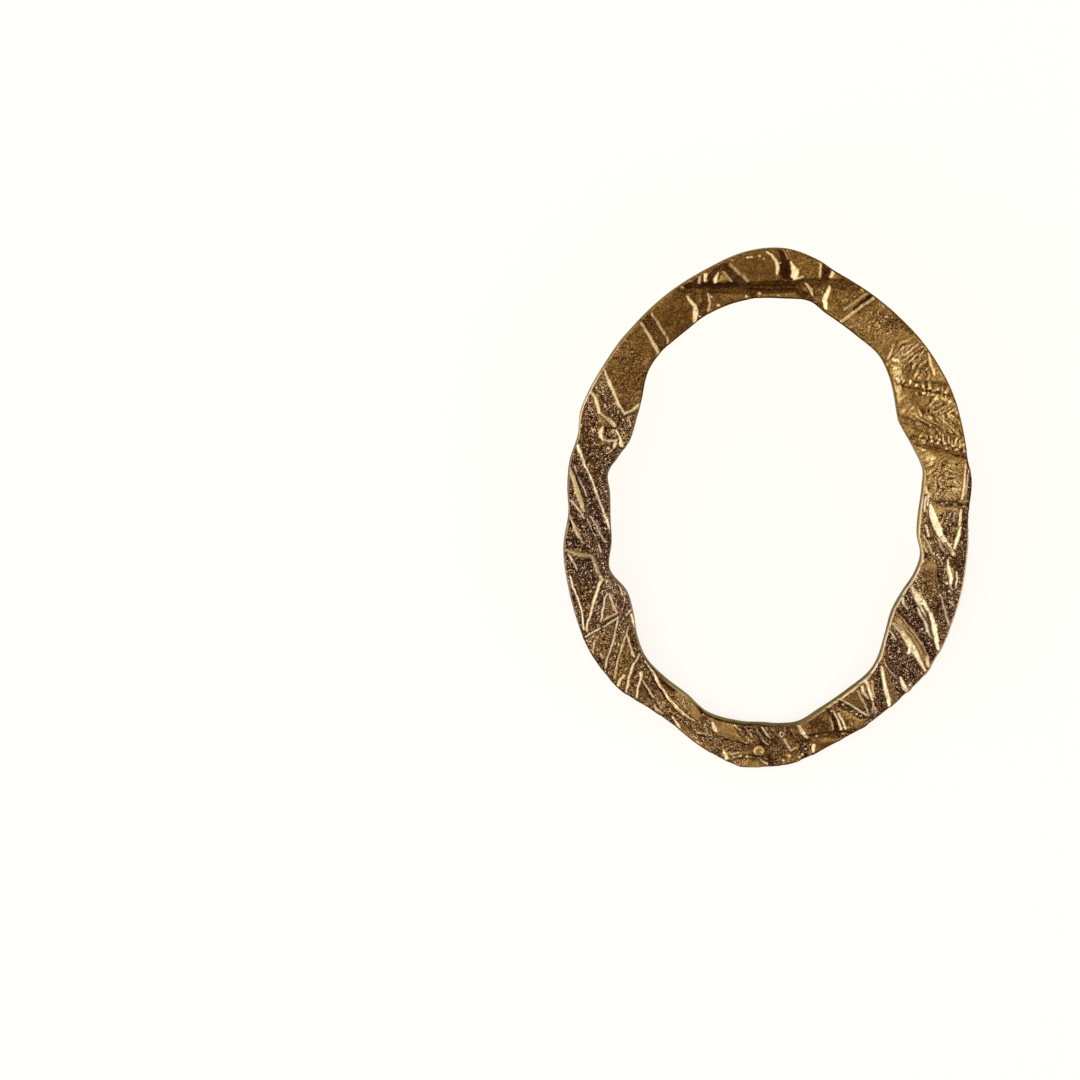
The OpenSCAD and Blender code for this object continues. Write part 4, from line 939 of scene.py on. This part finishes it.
bare = np.zeros(face_x.shape)
lift = np.zeros(face_x.shape)
warm = np.zeros(face_x.shape)
for shine, path in SLOPES:
    gap, width, across = stroke(ragged_x, ragged_y, path)
    # A painted shadow: a dark line along the foot of the slope, on its low side
    foot_shadow = smooth(across, 0, 0.1) * (1 - smooth(gap, 0.02, 0.2))
    tone = mix(tone, 0.35 * tone, foot_shadow)
    inside = 1 - smooth(gap, -EDGE, EDGE)
    # The slope falls evenly across its width, and a wide one falls deeper
    depth = np.minimum(1, 0.35 + 1.2 * width)
    level = depth * np.clip(0.5 + across / width, 0, 1)
    etched = mix(etched, level, inside)
    bare = np.maximum(mix(bare, 0, inside), shine * inside)
for shine, path in CRESTS:
    gap, width, _ = stroke(ragged_x, ragged_y, path)
    inside = 1 - smooth(gap, -EDGE, EDGE)
    # A crest is a rounded ridge, highest along its middle, with a dark line on either side
    dome = np.clip(1 - ((gap + width / 2) / (width / 2 + EDGE)) ** 2, 0, 1)
    outline = (1 - smooth(gap, 0.04, 0.2)) * (1 - inside)
    tone = mix(tone, 0.5 * tone, outline)
    warm = np.maximum(warm, inside * smooth(width, 0.2, 0.4))
    etched = mix(etched, 0.35 * etched, inside)
    lift = np.maximum(lift, (CREST_LEAST + CREST_BY_WIDTH * width) * dome)
    bare = np.maximum(bare, shine * inside)
print("highest crest:", lift.max().round(3), "mm")

# %% Beads, the boss and slits
# How high a bead is for its size, and how deep and how dark a slit is
BEAD_BY_SIZE, SLIT_RISE, SLIT_TONE = 0.3, -0.05, 0.06
# The stipple of the boss and of the slits
CALM = 0.2


def away_from(x, y, size):
    """Distance from the middle of a round spot, as a share of its radius."""
    return np.hypot(face_x - x * STRETCH[0], face_y - y * STRETCH[1]) / (size / 2)


for x, y, size, shine in BEADS:
    dome = np.clip(1 - away_from(x, y, size) ** 2, 0, 1)
    on_bead = smooth(dome, 0, 0.6)
    etched = mix(etched, 0.4 * etched, on_bead)
    lift = np.maximum(lift, BEAD_BY_SIZE * size * dome)
    bare = np.maximum(bare, shine * on_bead)

# The boss is a flat button, with a paler ring on it and a dark line round it. The numbers
# below are shares of its radius
*boss_spot, boss_height = BOSS
away = away_from(*boss_spot)
lift = np.maximum(lift, boss_height * np.clip(1 - away**4, 0, 1))
on_boss = 1 - smooth(away, 0.85, 1.05)
ring = np.exp(-(((away - 0.72) / 0.15) ** 2))
tone = mix(tone, 0.3 * tone, np.exp(-(((away - 1.15) / 0.15) ** 2)))
tone = mix(tone, 0.6 + 0.22 * ring, on_boss)
stipple = mix(stipple, CALM, on_boss)

for path in SLITS:
    inside = inside_of(path, -EDGE, EDGE)
    etched = mix(etched, 1, inside)
    tone = mix(tone, SLIT_TONE, inside)
    stipple = mix(stipple, CALM, inside)
    bare = mix(bare, 0, inside)
    lift = mix(lift, SLIT_RISE, inside)
print("share of the face that is bare:", (bare > 0.5).mean().round(3))

# %% Height of the face
# The faint bark everywhere: mm from worm to worm, and the way that they lie
BARK_SPACING, BARK_DEGREES = 0.7, 35
# The patches of worms: mm from worm to worm, and where a patch ends. It fades with distance
# as exp(-(distance / reach)^2), and each place belongs to the patch that is strongest there
WORM_SPACING, PATCH_END = 0.56, 0.2
WORM_HEIGHT, WAVE_HEIGHT = 0.12, 0.008
PIT_LEAST, PIT_BY_STIPPLE = 0.002, 0.02

worms = bark_strength * bark(face_x, face_y, BARK_SPACING, BARK_DEGREES, 5)
nearest = np.full(face_x.shape, PATCH_END)
for number, (x, y, reach, degrees, strength) in enumerate(WORMS):
    near = np.exp(-((ragged_x - x) ** 2 + (ragged_y - y) ** 2) / reach**2)
    grain = bark(face_x, face_y, WORM_SPACING, degrees, 20 + 2 * number)
    worms = np.where(near > nearest, strength * smooth(near, 0, 0.7) * grain, worms)
    nearest = np.maximum(nearest, near)
pits = lattice_noise(face_x, face_y, 0.3, 1) + 0.8 * lattice_noise(face_x, face_y, 0.2, 2)
waves = lattice_noise(face_x, face_y, 1.1, 3)
height = SHEET - ETCH_DEPTH * etched + lift
height += (PIT_LEAST + PIT_BY_STIPPLE * stipple * (1 - bare)) * pits
height += WORM_HEIGHT * worms * (1 - bare) + WAVE_HEIGHT * waves
print("face height from", height.min().round(3), "to", height.max().round(3), "mm")

# %% Last shades: pits and hollows keep the patina
blotches = lattice_noise(face_x, face_y, 0.5, 7)
tone += (0.12 * stipple * pits + worms) * (1 - bare)
tone += 0.04 * waves + 0.03 * blotches
bare *= 0.85 + 0.15 * lattice_noise(face_x, face_y, 0.35, 8)
gold_here = np.clip(gold + 0.25 * (1 - stipple) - 0.3 * dark * stipple + 0.5 * warm, 0, 1)
print("tone from", tone.min().round(2), "to", tone.max().round(2))

# %% [markdown]
# ## The whole skin
#
# The rim rows follow a quarter ellipse from the face's edge down to the wall, and they keep the
# height of the face next to them, so a groove that runs out over the edge notches it. Then the
# hoop is laid down as it rests by itself: turned about its lower edge until the post's tip
# touches the table as well.

# %% Rings of the skin
BACK_RIM = 0.08
WALL_LEVELS = (0.0, 0.35, 0.75)

rim_turn = np.linspace(0, math.pi / 2, RIM_ROWS + 1)[:-1]
rings, parts = [], []


def add_ring(radius, level, part):
    """Keeps one closed line round the hoop, at a radius and a level above the back, with a
    word for the part of the section that it belongs to."""
    x, y = placed(radius, angle)
    rings.append(np.stack([x, y, np.broadcast_to(level, angle.shape)], axis=1))
    parts.append(part)


edge_in, edge_out = height[:, 0], height[:, -1]
add_ring(outer - BACK_RIM, 0.0, "back")
add_ring(inner + BACK_RIM, 0.0, "back")
for share_up in WALL_LEVELS:
    add_ring(inner, BACK_RIM + share_up * (edge_in - RIM - BACK_RIM), "side")
for t in rim_turn:
    add_ring(inner + RIM * (1 - np.cos(t)), edge_in - RIM * (1 - np.sin(t)), "inner rim")
for row in range(FACE_ROWS):
    add_ring(face_radius[:, row], height[:, row], "face")
for t in rim_turn[::-1]:
    add_ring(outer - RIM * (1 - np.cos(t)), edge_out - RIM * (1 - np.sin(t)), "outer rim")
for share_up in WALL_LEVELS[::-1]:
    add_ring(outer, BACK_RIM + share_up * (edge_out - RIM - BACK_RIM), "side")
plate = np.stack(rings, axis=1)
print("rings:", plate.shape[1])

# %% Laying the hoop down
# How far the post stands above the hoop's middle, then its length and thickness, in mm
POST_Y, POST_LENGTH, POST_DIAMETER = 23.7, 11.0, 0.8
# The rim of the solid model is this deep. Its lowest corner sets the front end of the part
RIM_CAD = 0.15

# The tilt is the angle up to the middle of the post's round tip, atan(drop / reach), and what
# the tip's own radius adds to it, asin(tip / distance)
tip = POST_DIAMETER / 2
reach = POST_Y + HOOP_LENGTH / 2
drop = POST_LENGTH - tip
lie_tilt = math.atan2(drop, reach) + math.asin(tip / math.hypot(reach, drop))
lie_cos, lie_sin = math.cos(lie_tilt), math.sin(lie_tilt)
low_z = HOOP_LENGTH / 2 * lie_sin
y_front = -HOOP_LENGTH / 2 * lie_cos - (SHEET - RIM_CAD) * lie_sin
y_back = max(HOOP_LENGTH / 2 * lie_cos, POST_Y * lie_cos + drop * lie_sin + tip)


def lying(points):
    """Points of the hoop's own plane, turned and lifted to where the hoop rests, in metres."""
    x, y, z = points[..., 0], points[..., 1], points[..., 2]
    turned_y = y * lie_cos - z * lie_sin - (y_front + y_back) / 2
    return MM * np.stack([x, turned_y, y * lie_sin + z * lie_cos + low_z], axis=-1)


def grid_mesh(name, points):
    """Mesh of a grid that closes in both directions; quads turn so that faces point out."""
    around, across = points.shape[:2]
    i = np.arange(around)[:, None]
    k = np.arange(across)[None, :]
    next_i, next_k = (i + 1) % around, (k + 1) % across
    corners = [i * across + k, next_i * across + k, next_i * across + next_k,
               i * across + next_k]
    quads = np.stack(corners, axis=-1).reshape(-1, 4)
    mesh = bpy.data.meshes.new(name)
    mesh.vertices.add(around * across)
    mesh.vertices.foreach_set("co", points.reshape(-1).astype(np.float32))
    mesh.loops.add(quads.size)
    mesh.loops.foreach_set("vertex_index", quads.reshape(-1).astype(np.int32))
    mesh.polygons.add(len(quads))
    mesh.polygons.foreach_set("loop_start", np.arange(0, quads.size, 4, dtype=np.int32))
    mesh.polygons.foreach_set("use_smooth", np.ones(len(quads), bool))
    mesh.update(calc_edges=True)
    mesh.validate()
    return mesh


hoop_mesh = grid_mesh("hoop_skin", lying(plate))
print("tilt:", round(math.degrees(lie_tilt), 2), "degrees; skin:", len(hoop_mesh.vertices),
      "points,", 2 * len(hoop_mesh.polygons), "triangles")

# %% Numbers on the points for the material
# Columns: angle, then the tone and bareness of the inner rim, then those of the outer rim. They are
# partly rubbed wear and partly painted light: a painted highlight where a rim catches the light and
# painted shade where it faces away
RIM_WEAR_AND_LIGHT = np.array([
    [0, 0.5, 0.4, 0.1, 0.0], [12, 0.4, 0.3, 0.2, 0.0], [30, 0.3, 0.1, 0.3, 0.0],
    [50, 0.3, 0.0, 0.3, 0.0], [75, 0.15, 0.0, 0.3, 0.0], [90, 0.10, 0.0, 0.4, 0.0],
    [110, 0.15, 0.0, 0.4, 0.0], [135, 0.15, 0.0, 0.35, 0.1], [143, 0.3, 0.1, 0.5, 0.4],
    [152, 0.3, 0.1, 0.5, 0.4], [160, 0.25, 0.1, 0.3, 0.1], [172, 0.2, 0.1, 0.3, 0.1],
    [185, 0.2, 0.1, 0.3, 0.15], [205, 0.15, 0.1, 0.3, 0.15], [215, 0.2, 0.2, 0.2, 0.0],
    [228, 0.2, 0.2, 0.2, 0.0], [235, 0.1, 0.0, 0.2, 0.0], [246, 0.3, 0.3, 0.3, 0.0],
    [252, 0.1, 0.0, 0.3, 0.0], [270, 0.15, 0.0, 0.3, 0.0], [280, 0.2, 0.1, 0.2, 0.0],
    [286, 0.3, 0.2, 0.2, 0.0], [292, 0.4, 0.45, 0.2, 0.0], [308, 0.4, 0.5, 0.3, 0.1],
    [318, 0.3, 0.45, 0.4, 0.3], [325, 0.3, 0.4, 0.4, 0.3], [338, 0.4, 0.4, 0.4, 0.6],
    [345, 0.5, 0.4, 0.4, 0.6], [352, 0.5, 0.4, 0.3, 0.4],
])
RIM_STIPPLE = 0.4


def add_attribute(mesh, name, values):
    """Stores one number a point, for the material to read."""
    layer = mesh.attributes.new(name, "FLOAT", "POINT")
    layer.data.foreach_set("value", values.reshape(-1).astype(np.float32))


def around_section(face_values):
    """A number for every point of the skin: the face's own, and beyond the face's two edges
    the number of that edge."""
    first = parts.index("face")
    return np.pad(face_values, ((0, 0), (first, len(parts) - first - FACE_ROWS)), mode="edge")


def is_part(*names):
    """1 for the rings that belong to the named parts of the section, and 0 for the rest."""
    return np.array([1.0 if part in names else 0.0 for part in parts])


side_part = np.broadcast_to(is_part("side", "back"), plate.shape[:2])
in_rim, out_rim, on_face = is_part("inner rim"), is_part("outer rim"), is_part("face")
rim_part = in_rim + out_rim
# Each rim's tone and bareness by angle: wear together with painted highlight and shade
rim_tone_and_shade = in_rim * by_angle(RIM_WEAR_AND_LIGHT, 1) + out_rim * by_angle(RIM_WEAR_AND_LIGHT, 3)
rim_bare_and_highlight = in_rim * by_angle(RIM_WEAR_AND_LIGHT, 2) + out_rim * by_angle(RIM_WEAR_AND_LIGHT, 4)
skin_tone = mix(around_section(np.clip(tone, 0, 1)), rim_tone_and_shade, rim_part)
skin_stipple = mix(around_section(stipple), RIM_STIPPLE, rim_part) * (1 - side_part)
add_attribute(hoop_mesh, "tone", skin_tone)
add_attribute(hoop_mesh, "stipple", skin_stipple)
add_attribute(hoop_mesh, "bare", around_section(bare) * on_face + rim_bare_and_highlight)
add_attribute(hoop_mesh, "side", side_part)
add_attribute(hoop_mesh, "gold", around_section(gold_here))
print("numbers on each point:", [layer.name for layer in hoop_mesh.attributes
                                 if layer.data_type == "FLOAT"])

# %% [markdown]
# ## Antiqued brass
#
# Liver of sulphur turns brass dark brown, and rubbing brings the metal back on all that stands
# proud. So one material covers the hoop, and the numbers stored on its points say how dark,
# how pitted, how golden and how bare each place is. Two layers of fine noise turn the stipple
# into pale and dark specks, a tenth to a fifth of a millimetre across.

# %% Helpers for node trees
def srgb(red, green, blue):
    """Colour from 0-255 screen values to the linear values that a shader takes."""
    values = np.array([red, green, blue]) / 255
    linear = np.where(values <= 0.04045, values / 12.92, ((values + 0.055) / 1.055) ** 2.4)
    return (*linear.tolist(), 1.0)


class Nodes:
    """A short hand for building a node tree: make a node, set its inputs, link or value."""

    def __init__(self, tree):
        self.tree = tree
        tree.nodes.clear()

    def add(self, kind, settings=None, **inputs):
        """A new node with its settings, and inputs by name, with _ for a blank."""
        node = self.tree.nodes.new(kind)
        for key, value in (settings or {}).items():
            setattr(node, key, value)
        for key, value in inputs.items():
            self.put(node.inputs[key.replace("_", " ")], value)
        return node

    def put(self, socket, value):
        """Links another node's output to the socket, or sets the socket's own value."""
        if isinstance(value, bpy.types.NodeSocket):
            self.tree.links.new(value, socket)
        else:
            socket.default_value = value

    def math(self, operation, a, b, clamp=False):
        node = self.add("ShaderNodeMath", {"operation": operation, "use_clamp": clamp})
        self.put(node.inputs[0], a)
        self.put(node.inputs[1], b)
        return node.outputs[0]

    def mix(self, factor, a, b):
        """Colour a where the factor is 0 and colour b where it is 1."""
        node = self.add("ShaderNodeMix", {"data_type": "RGBA"}, Factor=factor)
        self.put(node.inputs[6], a)
        self.put(node.inputs[7], b)
        return node.outputs[2]

    def ramp(self, value, low, high, to_low=0.0, to_high=1.0):
        """Maps the range low to high evenly onto the range to_low to to_high, and stops there."""
        node = self.add("ShaderNodeMapRange", {"clamp": True}, Value=value, From_Min=low,
                        From_Max=high, To_Min=to_low, To_Max=to_high)
        return node.outputs[0]

    def colours(self, value, stops):
        """Colour by value, between stops of a place from 0 to 1 and a colour."""
        node = self.add("ShaderNodeValToRGB", Fac=value)
        band = node.color_ramp
        for number, (at, colour) in enumerate(stops):
            stop = band.elements[number] if number < 2 else band.elements.new(at)
            stop.position = at
            stop.color = colour
        return node.outputs["Color"]

    def attribute(self, name):
        return self.add("ShaderNodeAttribute", {"attribute_name": name}).outputs["Fac"]

    def noise(self, vector, scale, detail):
        return self.add("ShaderNodeTexNoise", {"noise_dimensions": "3D"}, Vector=vector,
                        Scale=scale, Detail=detail).outputs["Fac"]

    def bump(self, height, distance, strength):
        return self.add("ShaderNodeBump", Height=height, Distance=distance,
                        Strength=strength).outputs["Normal"]


def new_material(name):
    """A material with an empty tree, its helper, and its principled shader at the end."""
    material = bpy.data.materials.new(name)
    material.use_nodes = True
    make = Nodes(material.node_tree)
    shader = make.add("ShaderNodeBsdfPrincipled")
    output = make.add("ShaderNodeOutputMaterial")
    make.put(output.inputs["Surface"], shader.outputs["BSDF"])
    return material, make, shader


# %% Colours of the brass
# From black-brown to bright metal, as it looks where the patina is reddish and where it is gold
REDDISH = [(0.0, srgb(32, 18, 13)), (0.15, srgb(60, 38, 29)), (0.3, srgb(86, 62, 47)),
           (0.5, srgb(120, 96, 74)), (0.75, srgb(174, 149, 121)), (1.0, srgb(238, 216, 188))]
GOLDEN = [(0.0, srgb(40, 21, 8)), (0.15, srgb(66, 39, 16)), (0.3, srgb(92, 63, 30)),
          (0.5, srgb(128, 97, 50)), (0.75, srgb(178, 146, 91)), (1.0, srgb(238, 212, 156))]
BARE_REDDISH, BARE_GOLDEN = srgb(255, 240, 214), srgb(255, 228, 176)
# Painted shade: the side walls are coloured a dark grey-olive, darker than the brass, for the shade
# they lie in beside the table
SIDE_SHADE_DARK, SIDE_SHADE_PALE = srgb(74, 65, 46), srgb(104, 94, 68)
# Metal seen at a glancing angle takes on this tint, so the steep walls stay warm
GLANCING_TINT = (0.85, 0.75, 0.5, 1)
# Noise scales in lumps a metre: specks of 0.2 mm, dust of 0.1 mm, patches of 1.4 mm
SPECK_SCALE, DUST_SCALE, PATCH_SCALE = 4600.0, 9000.0, 700.0
RELIEF_HEIGHT = 0.00007

hoop_metal, make, shader = new_material("antiqued_brass")
place = make.add("ShaderNodeTexCoord").outputs["Object"]
speck = make.noise(place, SPECK_SCALE, 2.0)
dust = make.noise(place, DUST_SCALE, 1.0)
patch = make.noise(place, PATCH_SCALE, 3.0)
tone_in, stipple_in, bare_in, side_in, gold_in = [
    make.attribute(name) for name in ("tone", "stipple", "bare", "side", "gold")]

# Specks: dark below the middle of the noise and pale above it, and as strong as the stipple
speckle = make.math("ADD", make.ramp(speck, 0.3, 0.55, -0.6, 0.0),
                    make.ramp(speck, 0.54, 0.74, 0.0, 1.2))
speckle = make.math("ADD", speckle, make.ramp(dust, 0.25, 0.75, -1.7, 1.7))
speckle = make.math("MULTIPLY", speckle, make.math("MULTIPLY", stipple_in, 0.46))
shade = make.math("ADD", tone_in, speckle)
shade = make.math("ADD", shade, make.ramp(patch, 0.3, 0.7, -0.05, 0.05), clamp=True)
print("hoop's node tree so far:", len(hoop_metal.node_tree.nodes), "nodes")

# %% Brass material of the hoop
colour = make.mix(gold_in, make.colours(shade, REDDISH), make.colours(shade, GOLDEN))
bare_part = make.math("MULTIPLY", bare_in, make.ramp(speck, 0.28, 0.5, 0.6, 1.0), clamp=True)
colour = make.mix(bare_part, colour, make.mix(gold_in, BARE_REDDISH, BARE_GOLDEN))
# The side walls take the painted shade colours, in patches
side_shade_colour = make.mix(make.ramp(patch, 0.35, 0.65), SIDE_SHADE_DARK, SIDE_SHADE_PALE)
make.put(shader.inputs["Base Color"], make.mix(side_in, colour, side_shade_colour))
shader.inputs["Metallic"].default_value = 1.0
shader.inputs["Specular Tint"].default_value = GLANCING_TINT
rough = make.math("SUBTRACT", make.ramp(tone_in, 0.1, 0.6, 0.5, 0.4),
                  make.math("MULTIPLY", bare_in, 0.22))
make.put(shader.inputs["Roughness"], rough)
relief = make.math("ADD", make.math("MULTIPLY", speck, 0.7), make.math("MULTIPLY", dust, 0.3))
relief_strength = make.math("ADD", make.math("MULTIPLY", stipple_in, 0.75), 0.08)
make.put(shader.inputs["Normal"], make.bump(relief, RELIEF_HEIGHT, relief_strength))

hoop = add_object("hoop_skin", hoop_mesh)
hoop_mesh.materials.append(hoop_metal)
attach(hoop, "root")
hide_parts("etched_hoop")
print("hoop box in mm:", in_mm(hoop.dimensions))

# %% [markdown]
# ## The ear post
#
# Drawn brass wire and a punched pad, untouched by the etching. The solid model's own mesh is
# right as it is, so it only gets its finish: satin brass with faint marks of handling.

# %% Brass material of the post
POST_PALE, POST_TARNISHED = srgb(226, 196, 130), srgb(196, 158, 92)
SCRATCH_SCALE = 6000.0
SCRATCH_HEIGHT = 0.00001

post_metal, make, shader = new_material("satin_brass")
place = make.add("ShaderNodeTexCoord").outputs["Object"]
tarnish = make.noise(place, PATCH_SCALE, 3.0)
scratches = make.noise(place, SCRATCH_SCALE, 1.0)
make.put(shader.inputs["Base Color"],
         make.mix(make.ramp(tarnish, 0.35, 0.7), POST_PALE, POST_TARNISHED))
shader.inputs["Metallic"].default_value = 1.0
make.put(shader.inputs["Roughness"], make.ramp(tarnish, 0.3, 0.7, 0.28, 0.42))
make.put(shader.inputs["Normal"], make.bump(scratches, SCRATCH_HEIGHT, 0.4))

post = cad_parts["ear_post"]
post.data.materials.clear()
post.data.materials.append(post_metal)
print("post box in mm:", in_mm(post.dimensions))

# %% [markdown]
# ## Table and light
#
# The earring lies on a plain pale table that is lit so brightly that it shows no shadow. Two
# tall soft panels stand left and right, the left one brighter, and the ceiling is dim and warm.
# That is what gives bright slopes beside a darker face.

# %% Table top
FLOOR_HALF = 3.0

floor_mesh = bpy.data.meshes.new("table_top")
floor_mesh.from_pydata([(-FLOOR_HALF, -FLOOR_HALF, 0), (FLOOR_HALF, -FLOOR_HALF, 0),
                        (FLOOR_HALF, FLOOR_HALF, 0), (-FLOOR_HALF, FLOOR_HALF, 0)],
                       [], [(0, 1, 2, 3)])
floor = add_object("table_top", floor_mesh)
floor_paint, make, shader = new_material("pale_table")
shader.inputs["Base Color"].default_value = (0.18, 0.175, 0.165, 1.0)
shader.inputs["Roughness"].default_value = 0.9
shader.inputs["Specular IOR Level"].default_value = 0.0
shader.inputs["Emission Color"].default_value = (1.0, 0.972, 0.925, 1.0)
shader.inputs["Emission Strength"].default_value = 0.84
floor_mesh.materials.append(floor_paint)
print("table half width in m:", FLOOR_HALF)

# %% Lights
PANEL_WIDTH = 1.4

world = bpy.data.worlds.new("ceiling")
bpy.context.scene.world = world
world.use_nodes = True
background = world.node_tree.nodes["Background"]
background.inputs["Color"].default_value = (1.0, 0.88, 0.74, 1.0)
background.inputs["Strength"].default_value = 0.36


def panel(name, near, far, radiance, colour):
    """A soft panel whose edge runs from the near point to the far one, both in the X-Z plane
    in metres. It faces the object, and radiance is how bright its surface looks: the lamp's
    power is radiance times pi times its area."""
    a, b = np.array(near), np.array(far)
    middle = (a + b) / 2
    length = np.linalg.norm(b - a)
    light = bpy.data.lights.new(name, "AREA")
    light.shape = "RECTANGLE"
    light.size = PANEL_WIDTH
    light.size_y = length
    light.energy = radiance * math.pi * PANEL_WIDTH * length
    light.color = colour
    along = (b - a) / length
    normal = np.array([along[1], -along[0]])
    if normal @ middle > 0:
        normal = -normal
    # Local X lies along world Y, local Y along the panel's length, and local -Z looks at the
    # object
    y_axis = np.array([along[0], 0, along[1]])
    z_axis = -np.array([normal[0], 0, normal[1]])
    x_axis = np.cross(y_axis, z_axis)
    turn_and_place = np.eye(4)
    turn_and_place[:3] = np.column_stack([x_axis, y_axis, z_axis, [middle[0], 0, middle[1]]])
    add_object(name, light).matrix_world = Matrix(turn_and_place.tolist())
    print(name, "length in m:", length.round(3), "power in W:", round(light.energy, 2))


panel("left_panel", (-0.09, 0.72), (-0.72, 0.05), 1.7, (1.0, 0.96, 0.9))
panel("right_panel", (0.16, 0.72), (0.72, 0.08), 1.1, (1.0, 0.93, 0.84))
bpy.context.scene.view_settings.view_transform = "Standard"
